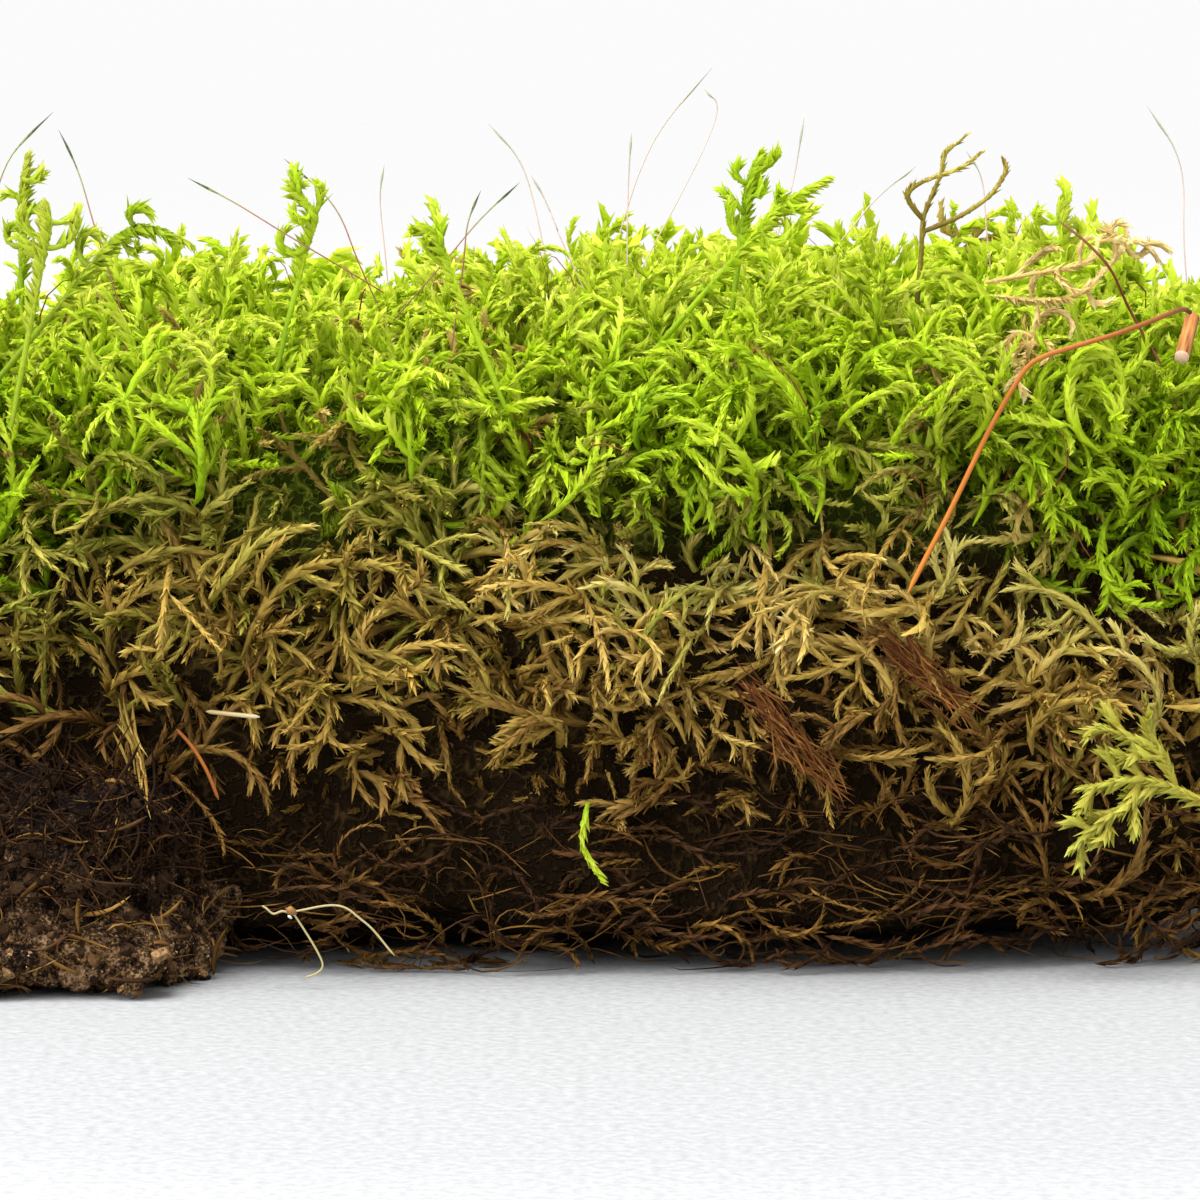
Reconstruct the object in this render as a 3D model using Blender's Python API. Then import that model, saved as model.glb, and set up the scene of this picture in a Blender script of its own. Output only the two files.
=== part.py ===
"""A clump of feather moss lifted whole from the ground, with its humus mat and a clod of soil.

Metres, +Z up. The origin is on the surface that the clump rests on, under the middle of the cushion.
+X runs along the clump, and -Y is the face where its layers show.
"""

import math
import random

import bmesh
import bpy
from mathutils import Matrix, Vector, noise
from mathutils.bvhtree import BVHTree

MM = 0.001

# Driving dimensions of the cushion
LENGTH = 128 * MM
DEPTH = 78 * MM
HEIGHT = 56 * MM
GREEN_FLOOR = 41 * MM
HUMUS_TOP = 14 * MM
GAP = 0.4 * MM

# The outline seen from above is between a rectangle and an ellipse: 0 is square, 1 is round.
ROUNDNESS = 0.5
# The sides bulge most at this height. They draw in by these shares of their reach at the foot and the top.
BELLY_HEIGHT = 46 * MM
FOOT_DRAWS_IN = 0.07
TOP_DRAWS_IN = 0.06
# The top falls away by this much at its very rim.
RIM_DROP = 7 * MM

# Cells of the layers' grid along X and Y. All layers share it, so that their faces lie along each other.
SHEET_CELLS = (16, 10)
SPLIT_LEAN = 0.2
# Rounds in which a slab's sides and heights settle on each other
SETTLING_ROUNDS = 6

# Green hangs lower here: middle along X, depth and half width of each droop.
GREEN_DROOPS = (
    (-52 * MM, 9 * MM, 8 * MM),
    (8 * MM, 5 * MM, 9 * MM),
    (47 * MM, 11 * MM, 9 * MM),
)
# The cushion's top rises here, in the same terms.
TOP_SWELLS = (
    (-42 * MM, 1.5 * MM, 9 * MM),
    (17 * MM, 4.5 * MM, 6 * MM),
    (40 * MM, 2.5 * MM, 9 * MM),
)

# The soil clod stands out in front of the left end.
CLOD_MIDDLE = Vector((-49, -33, 4)) * MM
CLOD_REACH = Vector((20, 18, 14.5)) * MM
# No shoot grows nearer to the clod than this multiple of its reach.
CLOD_NEAR = 1.35

# A loose piece is moved back from here, by ever smaller steps, until it lies against the moss.
START_IN_FRONT = -62 * MM
FURTHEST_BACK = -27 * MM
LEAST_STEP = 0.02 * MM
# Its path is followed with this many points, and evened out over this many to each side.
FINE_POINTS = 40
EVENED = 4

# Thicknesses of the pieces that grow out of the cushion or lie against it
SETA_THICK = 0.5 * MM
SHOOT_THICK = 2.4 * MM
SPRIG_THICK = 1.5 * MM
STRAND_THICK = 1.3 * MM
STALK_THICK = 0.7 * MM
STUB_THICK = 2 * MM
THREAD_THICK = 0.5 * MM
FIBRE_THICK = 1.8 * MM

# Spore stalks: where each leaves the moss, its middle and its tip, in mm. The lowest point is only
# a direction, because each stalk starts where it leaves the moss.
SPOROPHYTES = (
    ((-52.5, -23, 61), (-50.5, -26, 68), (-46.5, -27, 72.5)),
    ((-42.5, -27, 61.5), (-44, -27, 66.5), (-46, -27, 71)),
    ((-25, -33, 61.5), (-30, -33, 64.5), (-34.5, -33, 67)),
    ((-20.5, -21, 59), (-23, -21, 64.5), (-27, -21, 68.5)),
    ((-20, 21, 58.5), (-20.5, 21, 63.5), (-20, 21, 67.5)),
    ((-11.5, -35, 59.5), (-11, -35, 63), (-10, -35, 66)),
    ((-13.5, -25, 59.5), (-10, -25, 63.5), (-7, -25, 66.5)),
    ((-4.5, -9, 58.5), (-6.5, -9, 67), (-10, -9, 71.5)),
    ((-2.5, -14, 59.5), (-4.5, -14, 64), (-6, -14, 67)),
    ((2.5, 6, 59), (2.5, 6, 66.5), (3, 6, 70.5)),
    ((1, 15, 58.5), (4.5, 15, 69), (10.5, 15, 76.5)),
    ((4, 10, 58.5), (10.5, 10, 71.5), (9.5, 10, 74.5)),
    ((16.5, -4, 64), (17.5, -4, 67.5), (18, -4, 72)),
    ((22.5, 6, 61.5), (25.5, 6, 65), (28.5, 6, 67.5)),
    ((34.5, -4, 61), (34, -4, 66), (32.5, -4, 69)),
    ((54.5, 21, 60.5), (54, 21, 67.5), (51, 21, 73)),
)

# Single leafy shoots that stand above the rest, from foot to tip, in mm
GREEN_SHOOTS = (
    ((-50, -19, 59.5), (-50, -19, 64.5), (-49.5, -19, 68.5)),
    ((-46.5, -36, 60), (-46, -36, 62.5), (-46, -36, 64.5)),
    ((-43.5, -35, 58.5), (-40.5, -36, 62), (-37.5, -37, 63), (-34, -37, 61.5)),
    ((-25, -31, 60), (-24, -31, 64), (-25, -31, 66), (-26.5, -31, 66)),
    ((-12.5, -37, 59.5), (-13.5, -37, 62), (-14.5, -37, 63)),
    ((12, -27, 62), (12.5, -27, 66), (13.5, -27, 69)),
    ((12, -31, 61), (15, -32, 64.5), (19, -33, 67)),
    ((39, -34, 60), (38.5, -34, 63), (38.5, -34, 65)),
)

# The dry olive sprig that curls above the canopy: its stem and two side branches
CURLY_SPRIG = (
    ((28, -14, 60), (28.2, -14, 63.3), (29.6, -14, 66.9), (30, -14, 68.7), (31.7, -14, 70.3)),
    ((28.2, -14, 63), (26.8, -14.5, 65), (27.9, -15, 66.3), (31.2, -15, 67.6), (32.9, -15, 68.8)),
    ((28.1, -14, 62), (31.2, -14, 63.3), (33.8, -14, 65), (35.2, -14, 66.9), (35.2, -14, 68)),
)

STANDING = SPOROPHYTES + GREEN_SHOOTS + CURLY_SPRIG
# The shoots of the cushion stay this far from the middle of a piece that stands out of it.
STANDING_ROOM = 1.8 * MM
# The path of a standing piece is followed from this far back inside the moss, with this many points.
ROOTED = 9 * MM
STANDING_POINTS = 90

# Loose pieces that lie against the front face. Their Y is only a start, because each is laid back.
DRY_STRANDS = (
    ((33.5, -41, 57), (38.5, -41, 57), (42.5, -41, 59.3), (45.5, -41, 61.5), (47.5, -41, 60)),
    ((32.5, -41, 58.2), (37, -41, 59.2), (40.5, -41, 60), (42.5, -41, 62), (44.2, -41, 61.5)),
    ((36.5, -41, 56.5), (36.5, -41, 54), (35.5, -41, 52), (34, -41, 49.8)),
)
RED_STALK = (
    (25.3, -43, 33),
    (28.6, -43, 39),
    (31.9, -43, 45.5),
    (34.2, -43, 49.7),
    (35.9, -43, 51.9),
    (38.8, -43, 53),
    (42.5, -43, 54.1),
    (46, -43, 55.2),
    (48.8, -43, 56),
    (49.8, -43, 55.6),
)
THIN_STALK = ((38.2, -41, 63.5), (41.9, -41, 60.3), (44.9, -41, 55.3), (47.2, -41, 51.2))
TWIG_STUB = ((50.3, -43, 55.3), (48.8, -43, 51.7))
STRAW_BIT = ((-33, -42, 22.5), (-28.5, -42, 22))
NEEDLE_BIT = ((-35.5, -43, 21), (-33.5, -43, 18.5), (-32, -43, 15))
HANGING_LEAF = ((-1, -44, 15), (-1.5, -44, 11.5), (0, -44, 8.5))
SIDE_SPRIG = (
    ((52, -42, 14.5), (46, -42, 17), (40.5, -42, 16.5)),
    ((47, -42, 17), (43, -42, 14.5), (39.5, -42, 11.5)),
    ((48, -42, 16.5), (46.5, -42, 19.5), (42, -42, 21.5)),
)
RED_FIBRES = (
    ((23, -41, 29), (27.5, -41, 25.5), (31, -41, 22)),
    ((11.5, -41, 26.5), (16, -41, 20), (20.5, -41, 15.5)),
)
# The pale rootlet near the floor: a small bulb with threads running from it
ROOTLET_BULB = Vector((-25.5, -43, 6.5)) * MM
BULB_RADIUS = 0.55 * MM
ROOTLET_THREADS = (
    ((-25.5, -43, 6.5), (-23.5, -43, 3), (-23, -43, 2), (-24.5, -43, 1)),
    ((-28, -43, 7), (-25.5, -43, 6.5)),
    ((-25.5, -43, 6.5), (-21.5, -43, 7), (-19.5, -43, 5.5), (-17, -43, 3)),
)


def clear_scene():
    for obj in list(bpy.data.objects):
        bpy.data.objects.remove(obj, do_unlink=True)


def collection(name):
    made = bpy.data.collections.new(name)
    bpy.context.scene.collection.children.link(made)
    return made


def material(name, colour, roughness):
    made = bpy.data.materials.new(name)
    made.use_nodes = True
    shader = made.node_tree.nodes["Principled BSDF"]
    shader.inputs["Base Color"].default_value = (*colour, 1)
    shader.inputs["Roughness"].default_value = roughness
    shader.inputs["Metallic"].default_value = 0
    return made


def link(name, data, group, finish):
    """A new object for this mesh or curve, in its collection and with its material."""
    obj = bpy.data.objects.new(name, data)
    group.objects.link(obj)
    if finish:
        data.materials.append(finish)
    return obj


def helper(obj):
    """Keeps a cutter or a shape that is only joined into another out of the model."""
    obj.hide_render = True
    obj.display_type = "WIRE"
    return obj


def boolean(obj, operation, other):
    step = obj.modifiers.new(operation.lower(), "BOOLEAN")
    step.operation = operation
    step.object = other
    step.use_self = operation == "UNION"


def evaluated_mesh(obj):
    """A new mesh holding the object as its modifiers leave it, with a curve's loose caps welded."""
    bpy.context.view_layer.update()
    graph = bpy.context.evaluated_depsgraph_get()
    mesh = bpy.data.meshes.new_from_object(obj.evaluated_get(graph))
    bm = bmesh.new()
    bm.from_mesh(mesh)
    bmesh.ops.remove_doubles(bm, verts=bm.verts, dist=0.001 * MM)
    bmesh.ops.recalc_face_normals(bm, faces=bm.faces)
    bm.to_mesh(mesh)
    bm.free()
    return mesh


def surface_of(obj):
    """A tree for finding the nearest point of the object's finished surface."""
    mesh = evaluated_mesh(obj)
    tree = BVHTree.FromPolygons([v.co for v in mesh.vertices], [tuple(p.vertices) for p in mesh.polygons])
    bpy.data.meshes.remove(mesh)
    return tree


def clearance(point, surfaces):
    return min(tree.find_nearest(point)[3] for tree in surfaces)


# The cushion's common form


def unevenness(point, size, height):
    """A smooth rise and fall of up to that height, with lumps of about that size."""
    return height * noise.noise(Vector(point) / size)


def bells(x, rows):
    return sum(height * math.exp(-(((x - middle) / width) ** 2)) for middle, height, width in rows)


def cushion_top(x, y, rim):
    """Height of the cushion at (x, y). Rim is 0 in the middle and 1 at its edge."""
    swell = bells(x, TOP_SWELLS) + unevenness((x, y, 0), 14 * MM, 2.4 * MM)
    return HEIGHT + swell - RIM_DROP * rim**6


def green_floor(x, y):
    """Height at which the living shoots give way to dead ones."""
    droop = bells(x + 0.35 * (y + DEPTH / 2), GREEN_DROOPS)
    return GREEN_FLOOR - droop + unevenness((x, y, 9), 17 * MM, 4 * MM)


def humus_top(x, y):
    return HUMUS_TOP + unevenness((x, y, 21), 22 * MM, 4 * MM)


def side_scale(x, y, z):
    """How far the side stands out at this height and bearing, as a share of the outline."""
    if z < BELLY_HEIGHT:
        drawn_in = FOOT_DRAWS_IN * (1 - z / BELLY_HEIGHT) ** 2
    else:
        drawn_in = TOP_DRAWS_IN * ((z - BELLY_HEIGHT) / (HEIGHT - BELLY_HEIGHT)) ** 2
    lumps = unevenness((x, y, z * 1.6), 24 * MM, 0.055) + unevenness((x, y, z * 2), 9 * MM, 0.035)
    return 1 - drawn_in + lumps


def box_grid(cells):
    """A 2 x 2 x 2 cube about the origin, cut into these numbers of cells along X, Y and Z."""
    bm = bmesh.new()
    bmesh.ops.create_cube(bm, size=2)
    for axis, count in enumerate(cells):
        along = [e for e in bm.edges if abs(e.verts[0].co[axis] - e.verts[1].co[axis]) > 0.01]
        bmesh.ops.subdivide_edges(bm, edges=along, cuts=count - 1, use_grid_fill=True)
    return bm


def slab(name, cells_high, low, high, group, finish):
    """One layer of the cushion between two height functions, as a rounded box with uneven sides."""
    bm = box_grid((*SHEET_CELLS, cells_high))
    # Leant over like this, each cell has one shorter diagonal, so that all the layers are split alike.
    lean = Matrix(((1, SPLIT_LEAN, 0), (0, 1, 0), (0, 0, 1))).to_4x4()
    bmesh.ops.transform(bm, matrix=lean, verts=bm.verts)
    bmesh.ops.triangulate(bm, faces=bm.faces, quad_method="SHORT_EDGE")
    bmesh.ops.transform(bm, matrix=lean.inverted(), verts=bm.verts)
    for vert in bm.verts:
        u, v, w = vert.co
        rim = max(abs(u), abs(v))
        flat_x = LENGTH / 2 * u * math.sqrt(1 - ROUNDNESS / 2 * v * v)
        flat_y = DEPTH / 2 * v * math.sqrt(1 - ROUNDNESS / 2 * u * u)
        x, y = flat_x, flat_y
        # The sides' reach depends on the height, and the layer's heights on the place reached.
        for _ in range(SETTLING_ROUNDS):
            bottom, top = low(x, y, rim), high(x, y, rim)
            z = bottom + (top - bottom) * (w + 1) / 2
            spread = 1 + (side_scale(flat_x, flat_y, z) - 1) * rim
            x, y = flat_x * spread, flat_y * spread
        vert.co = (x, y, z)
    mesh = bpy.data.meshes.new(name)
    bm.to_mesh(mesh)
    bm.free()
    return link(name, mesh, group, finish)


# Shoots and stalks: tapered tubes through a few points


def vectors(knots):
    return [Vector(knot) * MM for knot in knots]


def smooth_path(knots, count):
    """Points at even steps of parameter on a smooth curve through the knots."""
    ends = [2 * knots[0] - knots[1], *knots, 2 * knots[-1] - knots[-2]]
    points = []
    for i in range(count):
        at = i / (count - 1) * (len(knots) - 1)
        k = min(int(at), len(knots) - 2)
        t = at - k
        a, b, c, d = ends[k : k + 4]
        bend = (2 * a - 5 * b + 4 * c - d) * t**2 + (3 * b - a - 3 * c + d) * t**3
        points.append(0.5 * (2 * b + (c - a) * t + bend))
    return points


def tube(name, paths, thickness, group, finish):
    """A curve object with one four-sided tube for each path, a list of (point, share of thickness)."""
    curve = bpy.data.curves.new(name, "CURVE")
    curve.dimensions = "3D"
    curve.bevel_depth = thickness / 2
    curve.bevel_resolution = 0
    curve.use_fill_caps = True
    for path in paths:
        spline = curve.splines.new("POLY")
        spline.points.add(len(path) - 1)
        for point, (place, share) in zip(spline.points, path):
            point.co = (*place, 1)
            point.radius = share
    return link(name, curve, group, finish)


def tube_mesh(name, paths, thickness, group, finish):
    """The same tubes as a mesh object, which can take and be a Boolean."""
    drawn = tube(name + "_curve", paths, thickness, group, None)
    made = link(name, evaluated_mesh(drawn), group, finish)
    bpy.data.objects.remove(drawn)
    return made


def by_clod(point):
    """Whether the point is in the soil clod or close to it."""
    away = point - CLOD_MIDDLE
    return Vector((a / r for a, r in zip(away, CLOD_REACH))).length < CLOD_NEAR


def crowds(path, thickness, kept_free):
    """Whether a tapered shoot along the path would come too near any of the points kept free."""
    for (a, share_a), (b, share_b) in zip(path, path[1:]):
        for t in (0, 0.5, 1):
            near = thickness / 2 * (share_a + (share_b - share_a) * t) + STANDING_ROOM
            if any((a.lerp(b, t) - point).length < near for point in kept_free):
                return True
    return False


def tufts(body, name, wanted, reach, thickness, lean, limits, spacing, seed, tools, kept_free=()):
    """Fuses short tapered shoots to the layer's outer skin, each leaning as lean(normal, draw) says.

    limits gives the lowest and highest that a shoot may be at (x, y), so that the layers stay apart.
    """
    draw = random.Random(seed)
    verts = list(body.data.vertices)
    draw.shuffle(verts)
    paths, roots = [], []
    for vert in verts:
        low, high = limits(vert.co.x, vert.co.y)
        if not wanted(vert) or not low + thickness < vert.co.z < high - thickness or by_clod(vert.co):
            continue
        if any((vert.co - other).length < spacing for other in roots):
            continue
        heading = lean(vert.normal, draw).normalized()
        length = reach * draw.uniform(0.7, 1.25)
        curl = Vector((draw.uniform(-1, 1), draw.uniform(-1, 1), draw.uniform(-0.3, 0.8))) * length * 0.35
        path = []
        for t, share in ((-0.35, 1.0), (0.45, 0.8), (1.0, 0.16)):
            place = vert.co + heading * length * t + curl * max(t, 0) ** 2
            low, high = limits(place.x, place.y)
            place.z = min(max(place.z, low + thickness * share / 2), high - thickness * share / 2)
            path.append((place, share))
        if not crowds(path, thickness, kept_free):
            roots.append(vert.co.copy())
            paths.append(path)
    boolean(body, "UNION", helper(tube_mesh(name, paths, thickness, tools, None)))


def green_lean(normal, draw):
    return normal * 0.7 + Vector((draw.uniform(-0.5, 0.5), draw.uniform(-0.5, 0.5), 0.75))


def brown_lean(normal, draw):
    return normal + Vector((draw.uniform(-0.8, 0.8), draw.uniform(-0.4, 0.4), draw.uniform(-0.55, 0.7)))


def humus_lean(normal, draw):
    return normal + Vector((draw.uniform(-1, 1), draw.uniform(-0.5, 0.5), draw.uniform(-0.5, 0.2)))


# The big bodies


def clod_shape(name, grown, group, finish):
    """The soil clod: a rough ball, flat where it rests. Grown makes it larger all round, as a cutter."""
    bm = bmesh.new()
    bmesh.ops.create_icosphere(bm, subdivisions=3, radius=1)
    for vert in bm.verts:
        out = vert.co.normalized()
        rough = 1 + unevenness(out * 20 * MM, 11 * MM, 0.25) + unevenness(out * 20 * MM, 4 * MM, 0.22)
        place = CLOD_MIDDLE + Vector((o * r * rough + o * grown for o, r in zip(out, CLOD_REACH)))
        place.z = max(place.z, -grown)
        vert.co = place
    bmesh.ops.dissolve_limit(bm, angle_limit=math.radians(1), verts=bm.verts, edges=bm.edges)
    bmesh.ops.triangulate(bm, faces=bm.faces)
    mesh = bpy.data.meshes.new(name)
    bm.to_mesh(mesh)
    bm.free()
    return link(name, mesh, group, finish)


def soil_clod(group, tools):
    soil = material("soil", (0.045, 0.03, 0.018), 0.95)
    clod = clod_shape("soil_clod", 0, group, soil)
    return clod, helper(clod_shape("clod_space", GAP, tools, None))


def humus_mat(group, tools, clod_space):
    """The dark mat of old stems and rhizoids that the clump rests on, cut flat underneath."""
    dark = material("humus", (0.05, 0.026, 0.012), 0.95)
    mat = slab(
        "humus_mat",
        2,
        lambda x, y, rim: 0,
        lambda x, y, rim: humus_top(x, y) - GAP / 2,
        group,
        dark,
    )
    tufts(
        mat,
        "humus_ends",
        lambda v: v.normal.z > -0.5 and abs(v.normal.z) < 0.7,
        reach=5 * MM,
        thickness=3.4 * MM,
        lean=humus_lean,
        limits=lambda x, y: (0.1 * MM, humus_top(x, y) - 1.2 * MM),
        spacing=8.5 * MM,
        seed=31,
        tools=tools,
    )
    boolean(mat, "DIFFERENCE", clod_space)
    return mat


def brown_moss(group, tools, clod_space):
    """The dead lower shoots, olive above and brown below, which hang and curl out of the cut faces."""
    dead = material("dead_moss", (0.2, 0.13, 0.045), 0.9)
    body = slab(
        "brown_moss",
        4,
        lambda x, y, rim: humus_top(x, y) + GAP / 2,
        lambda x, y, rim: green_floor(x, y) - GAP / 2,
        group,
        dead,
    )
    tufts(
        body,
        "brown_shoots",
        lambda v: abs(v.normal.z) < 0.8,
        reach=7 * MM,
        thickness=5 * MM,
        lean=brown_lean,
        limits=lambda x, y: (humus_top(x, y) + 1.2 * MM, green_floor(x, y) - 1.2 * MM),
        spacing=8.8 * MM,
        seed=17,
        tools=tools,
    )
    boolean(body, "DIFFERENCE", clod_space)
    return body


def green_moss(group, tools):
    """The living cushion: crowded leafy shoots, thickest over the top and round its brow."""
    living = material("living_moss", (0.3, 0.5, 0.04), 0.7)
    body = slab(
        "green_moss",
        3,
        lambda x, y, rim: green_floor(x, y) + GAP / 2,
        cushion_top,
        group,
        living,
    )
    tufts(
        body,
        "green_shoots",
        lambda v: v.normal.z > -0.4,
        reach=6.5 * MM,
        thickness=7 * MM,
        lean=green_lean,
        limits=lambda x, y: (green_floor(x, y) + 1.2 * MM, 2 * HEIGHT),
        spacing=9.8 * MM,
        seed=5,
        tools=tools,
        kept_free=[p for knots in STANDING for p in smooth_path(vectors(knots), 8)],
    )
    return body


# What stands out of the cushion


def standing(knots, thickness, surfaces, count):
    """A smooth path from the moss to the tip: it starts where it comes clear of what it grows from."""
    foot = knots[0] - (knots[1] - knots[0]).normalized() * ROOTED
    fine = smooth_path([foot, *knots], STANDING_POINTS)
    clear = []
    for point in reversed(fine):
        if clearance(point, surfaces) < thickness / 2 + GAP:
            break
        clear.append(point)
    clear.reverse()
    return [clear[round(i / (count - 1) * (len(clear) - 1))] for i in range(count)]


def sporophytes(group, surfaces):
    """Thin spore stalks, each with a slender closed capsule at its tip."""
    finish = material("sporophyte", (0.16, 0.16, 0.05), 0.6)
    made = []
    for number, knots in enumerate(SPOROPHYTES, 1):
        path = standing(vectors(knots), SETA_THICK, surfaces, 7)
        shares = (0.8, 0.7, 0.7, 0.7, 0.8, 1.2, 0.3)
        made.append(tube(f"sporophyte_{number:02d}", [list(zip(path, shares))], SETA_THICK, group, finish))
    return made


def green_shoots(group, surfaces):
    finish = material("fresh_shoot", (0.35, 0.55, 0.05), 0.65)
    made = []
    for number, knots in enumerate(GREEN_SHOOTS, 1):
        path = standing(vectors(knots), SHOOT_THICK, surfaces, 6)
        shares = (0.75, 1.0, 0.95, 0.8, 0.6, 0.2)
        made.append(tube(f"green_shoot_{number:02d}", [list(zip(path, shares))], SHOOT_THICK, group, finish))
    return made


def fused(name, paths, thickness, group, tools, finish):
    """The first path's tube with the others joined to it."""
    made = tube_mesh(name, paths[:1], thickness, group, finish)
    boolean(made, "UNION", helper(tube_mesh(name + "_rest", paths[1:], thickness, tools, None)))
    return made


def tapered(points, first, last):
    """The points with a share of the thickness that runs evenly from first to last."""
    steps = len(points) - 1
    return [(point, first + (last - first) * i / steps) for i, point in enumerate(points)]


def curly_sprig(group, tools, surfaces):
    finish = material("dry_olive", (0.2, 0.17, 0.04), 0.85)
    stem, *branches = [vectors(knots) for knots in CURLY_SPRIG]
    paths = [tapered(standing(stem, SPRIG_THICK, surfaces, 9), 1.0, 0.3)]
    paths += [tapered(smooth_path(knots, 9), 0.8, 0.3) for knots in branches]
    return fused("curly_sprig", paths, SPRIG_THICK, group, tools, finish)


# What lies against the front face


def laid_back(points, thickness, surfaces):
    """How far along Y these points move from their own place to lie against the moss, seen from -Y."""
    reach = thickness / 2 + GAP
    shift = START_IN_FRONT - min(p.y for p in points)
    while True:
        moved = [p + Vector((0, shift, 0)) for p in points]
        step = min(clearance(p, surfaces) for p in moved) - reach
        step = min(step, FURTHEST_BACK - max(p.y for p in moved))
        if step < LEAST_STEP:
            return Vector((0, shift, 0))
        shift += step


def lying(knots, thickness, surfaces, count):
    """A smooth path through the knots that follows the face, or what was laid on it before."""
    fine = smooth_path(vectors(knots), FINE_POINTS)
    depths = [p.y + laid_back([p], thickness, surfaces).y for p in fine]
    # Each point comes as far forward as its neighbours, and then the path is evened out. An average of
    # such points is never behind the place where the middle one would touch.
    for evened_by in (min, lambda some: sum(some) / len(some)):
        depths = [evened_by(depths[max(i - EVENED, 0) : i + EVENED + 1]) for i in range(FINE_POINTS)]
    for point, depth in zip(fine, depths):
        point.y = depth
    return smooth_path(fine, count)


def loose_pieces(group, tools, surfaces):
    """Stalks, strands and scraps, each laid in turn so that the next one keeps clear of it."""
    dry = material("dry_strand", (0.45, 0.33, 0.12), 0.85)
    red = material("red_stalk", (0.45, 0.12, 0.03), 0.5)
    twig = material("twig", (0.55, 0.2, 0.05), 0.7)
    straw = material("straw", (0.5, 0.42, 0.22), 0.7)
    fresh = material("fresh_leaf", (0.3, 0.6, 0.04), 0.5)
    sprig = material("pale_sprig", (0.5, 0.5, 0.08), 0.7)
    fibre = material("red_fibre", (0.16, 0.05, 0.02), 0.9)

    def keep(obj):
        surfaces.append(surface_of(obj))

    for number, knots in enumerate(RED_FIBRES, 1):
        path = tapered(lying(knots, FIBRE_THICK, surfaces, 5), 1.0, 0.4)
        keep(tube(f"red_fibre_tuft_{number}", [path], FIBRE_THICK, group, fibre))
    for number, knots in enumerate(DRY_STRANDS, 1):
        path = tapered(lying(knots, STRAND_THICK, surfaces, 8), 1.0, 0.5)
        keep(tube(f"dry_strand_{number}", [path], STRAND_THICK, group, dry))
    path = tapered(lying(TWIG_STUB, STUB_THICK, surfaces, 3), 0.9, 1.0)
    keep(tube("twig_stub", [path], STUB_THICK, group, twig))
    path = tapered(lying(THIN_STALK, STALK_THICK, surfaces, 6), 1.0, 0.6)
    keep(tube("thin_stalk", [path], STALK_THICK, group, red))
    path = tapered(lying(RED_STALK, STALK_THICK, surfaces, 19), 1.0, 0.8)
    keep(tube("red_stalk", [path], STALK_THICK, group, red))
    path = tapered(lying(STRAW_BIT, STALK_THICK, surfaces, 3), 1.0, 1.0)
    keep(tube("straw_bit", [path], STALK_THICK, group, straw))
    path = tapered(lying(NEEDLE_BIT, STALK_THICK, surfaces, 4), 1.0, 0.5)
    keep(tube("needle_bit", [path], STALK_THICK, group, twig))
    path = tapered(lying(HANGING_LEAF, SPRIG_THICK, surfaces, 5), 0.6, 0.5)
    keep(tube("hanging_leaf", [path], SPRIG_THICK, group, fresh))

    knots = [vectors(branch) for branch in SIDE_SPRIG]
    branches = [smooth_path(branch, 6) for branch in knots]
    shift = laid_back([p for branch in branches for p in branch], SPRIG_THICK, surfaces)
    paths = [tapered([p + shift for p in branch], 1.0, 0.4) for branch in branches]
    keep(fused("side_sprig", paths, SPRIG_THICK, group, tools, sprig))


def rootlet(group, tools, surfaces):
    pale = material("pale_root", (0.6, 0.5, 0.33), 0.5)
    threads = [smooth_path(vectors(knots), 6) for knots in ROOTLET_THREADS]
    shift = laid_back([p for thread in threads for p in thread], 2 * BULB_RADIUS, surfaces)
    paths = [tapered([p + shift for p in thread], 1.0, 0.8) for thread in threads]
    made = fused("rootlet", paths, THREAD_THICK, group, tools, pale)
    bm = bmesh.new()
    bmesh.ops.create_icosphere(bm, subdivisions=1, radius=BULB_RADIUS)
    bmesh.ops.translate(bm, verts=bm.verts, vec=ROOTLET_BULB + shift)
    mesh = bpy.data.meshes.new("rootlet_bulb")
    bm.to_mesh(mesh)
    bm.free()
    boolean(made, "UNION", helper(link("rootlet_bulb", mesh, tools, None)))


def main():
    clear_scene()
    clump = collection("moss_clump")
    tools = collection("tools")
    clod, clod_space = soil_clod(clump, tools)
    bodies = [
        clod,
        humus_mat(clump, tools, clod_space),
        brown_moss(clump, tools, clod_space),
        green_moss(clump, tools),
    ]
    surfaces = [surface_of(body) for body in bodies]
    for piece in green_shoots(clump, surfaces):
        surfaces.append(surface_of(piece))
    for piece in sporophytes(clump, surfaces):
        surfaces.append(surface_of(piece))
    surfaces.append(surface_of(curly_sprig(clump, tools, surfaces)))
    loose_pieces(clump, tools, surfaces)
    rootlet(clump, tools, surfaces)


main()
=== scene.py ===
import math
from dataclasses import dataclass, replace

import bmesh
import bpy
import numpy as np
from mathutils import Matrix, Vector, noise
from mathutils.bvhtree import BVHTree


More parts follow.
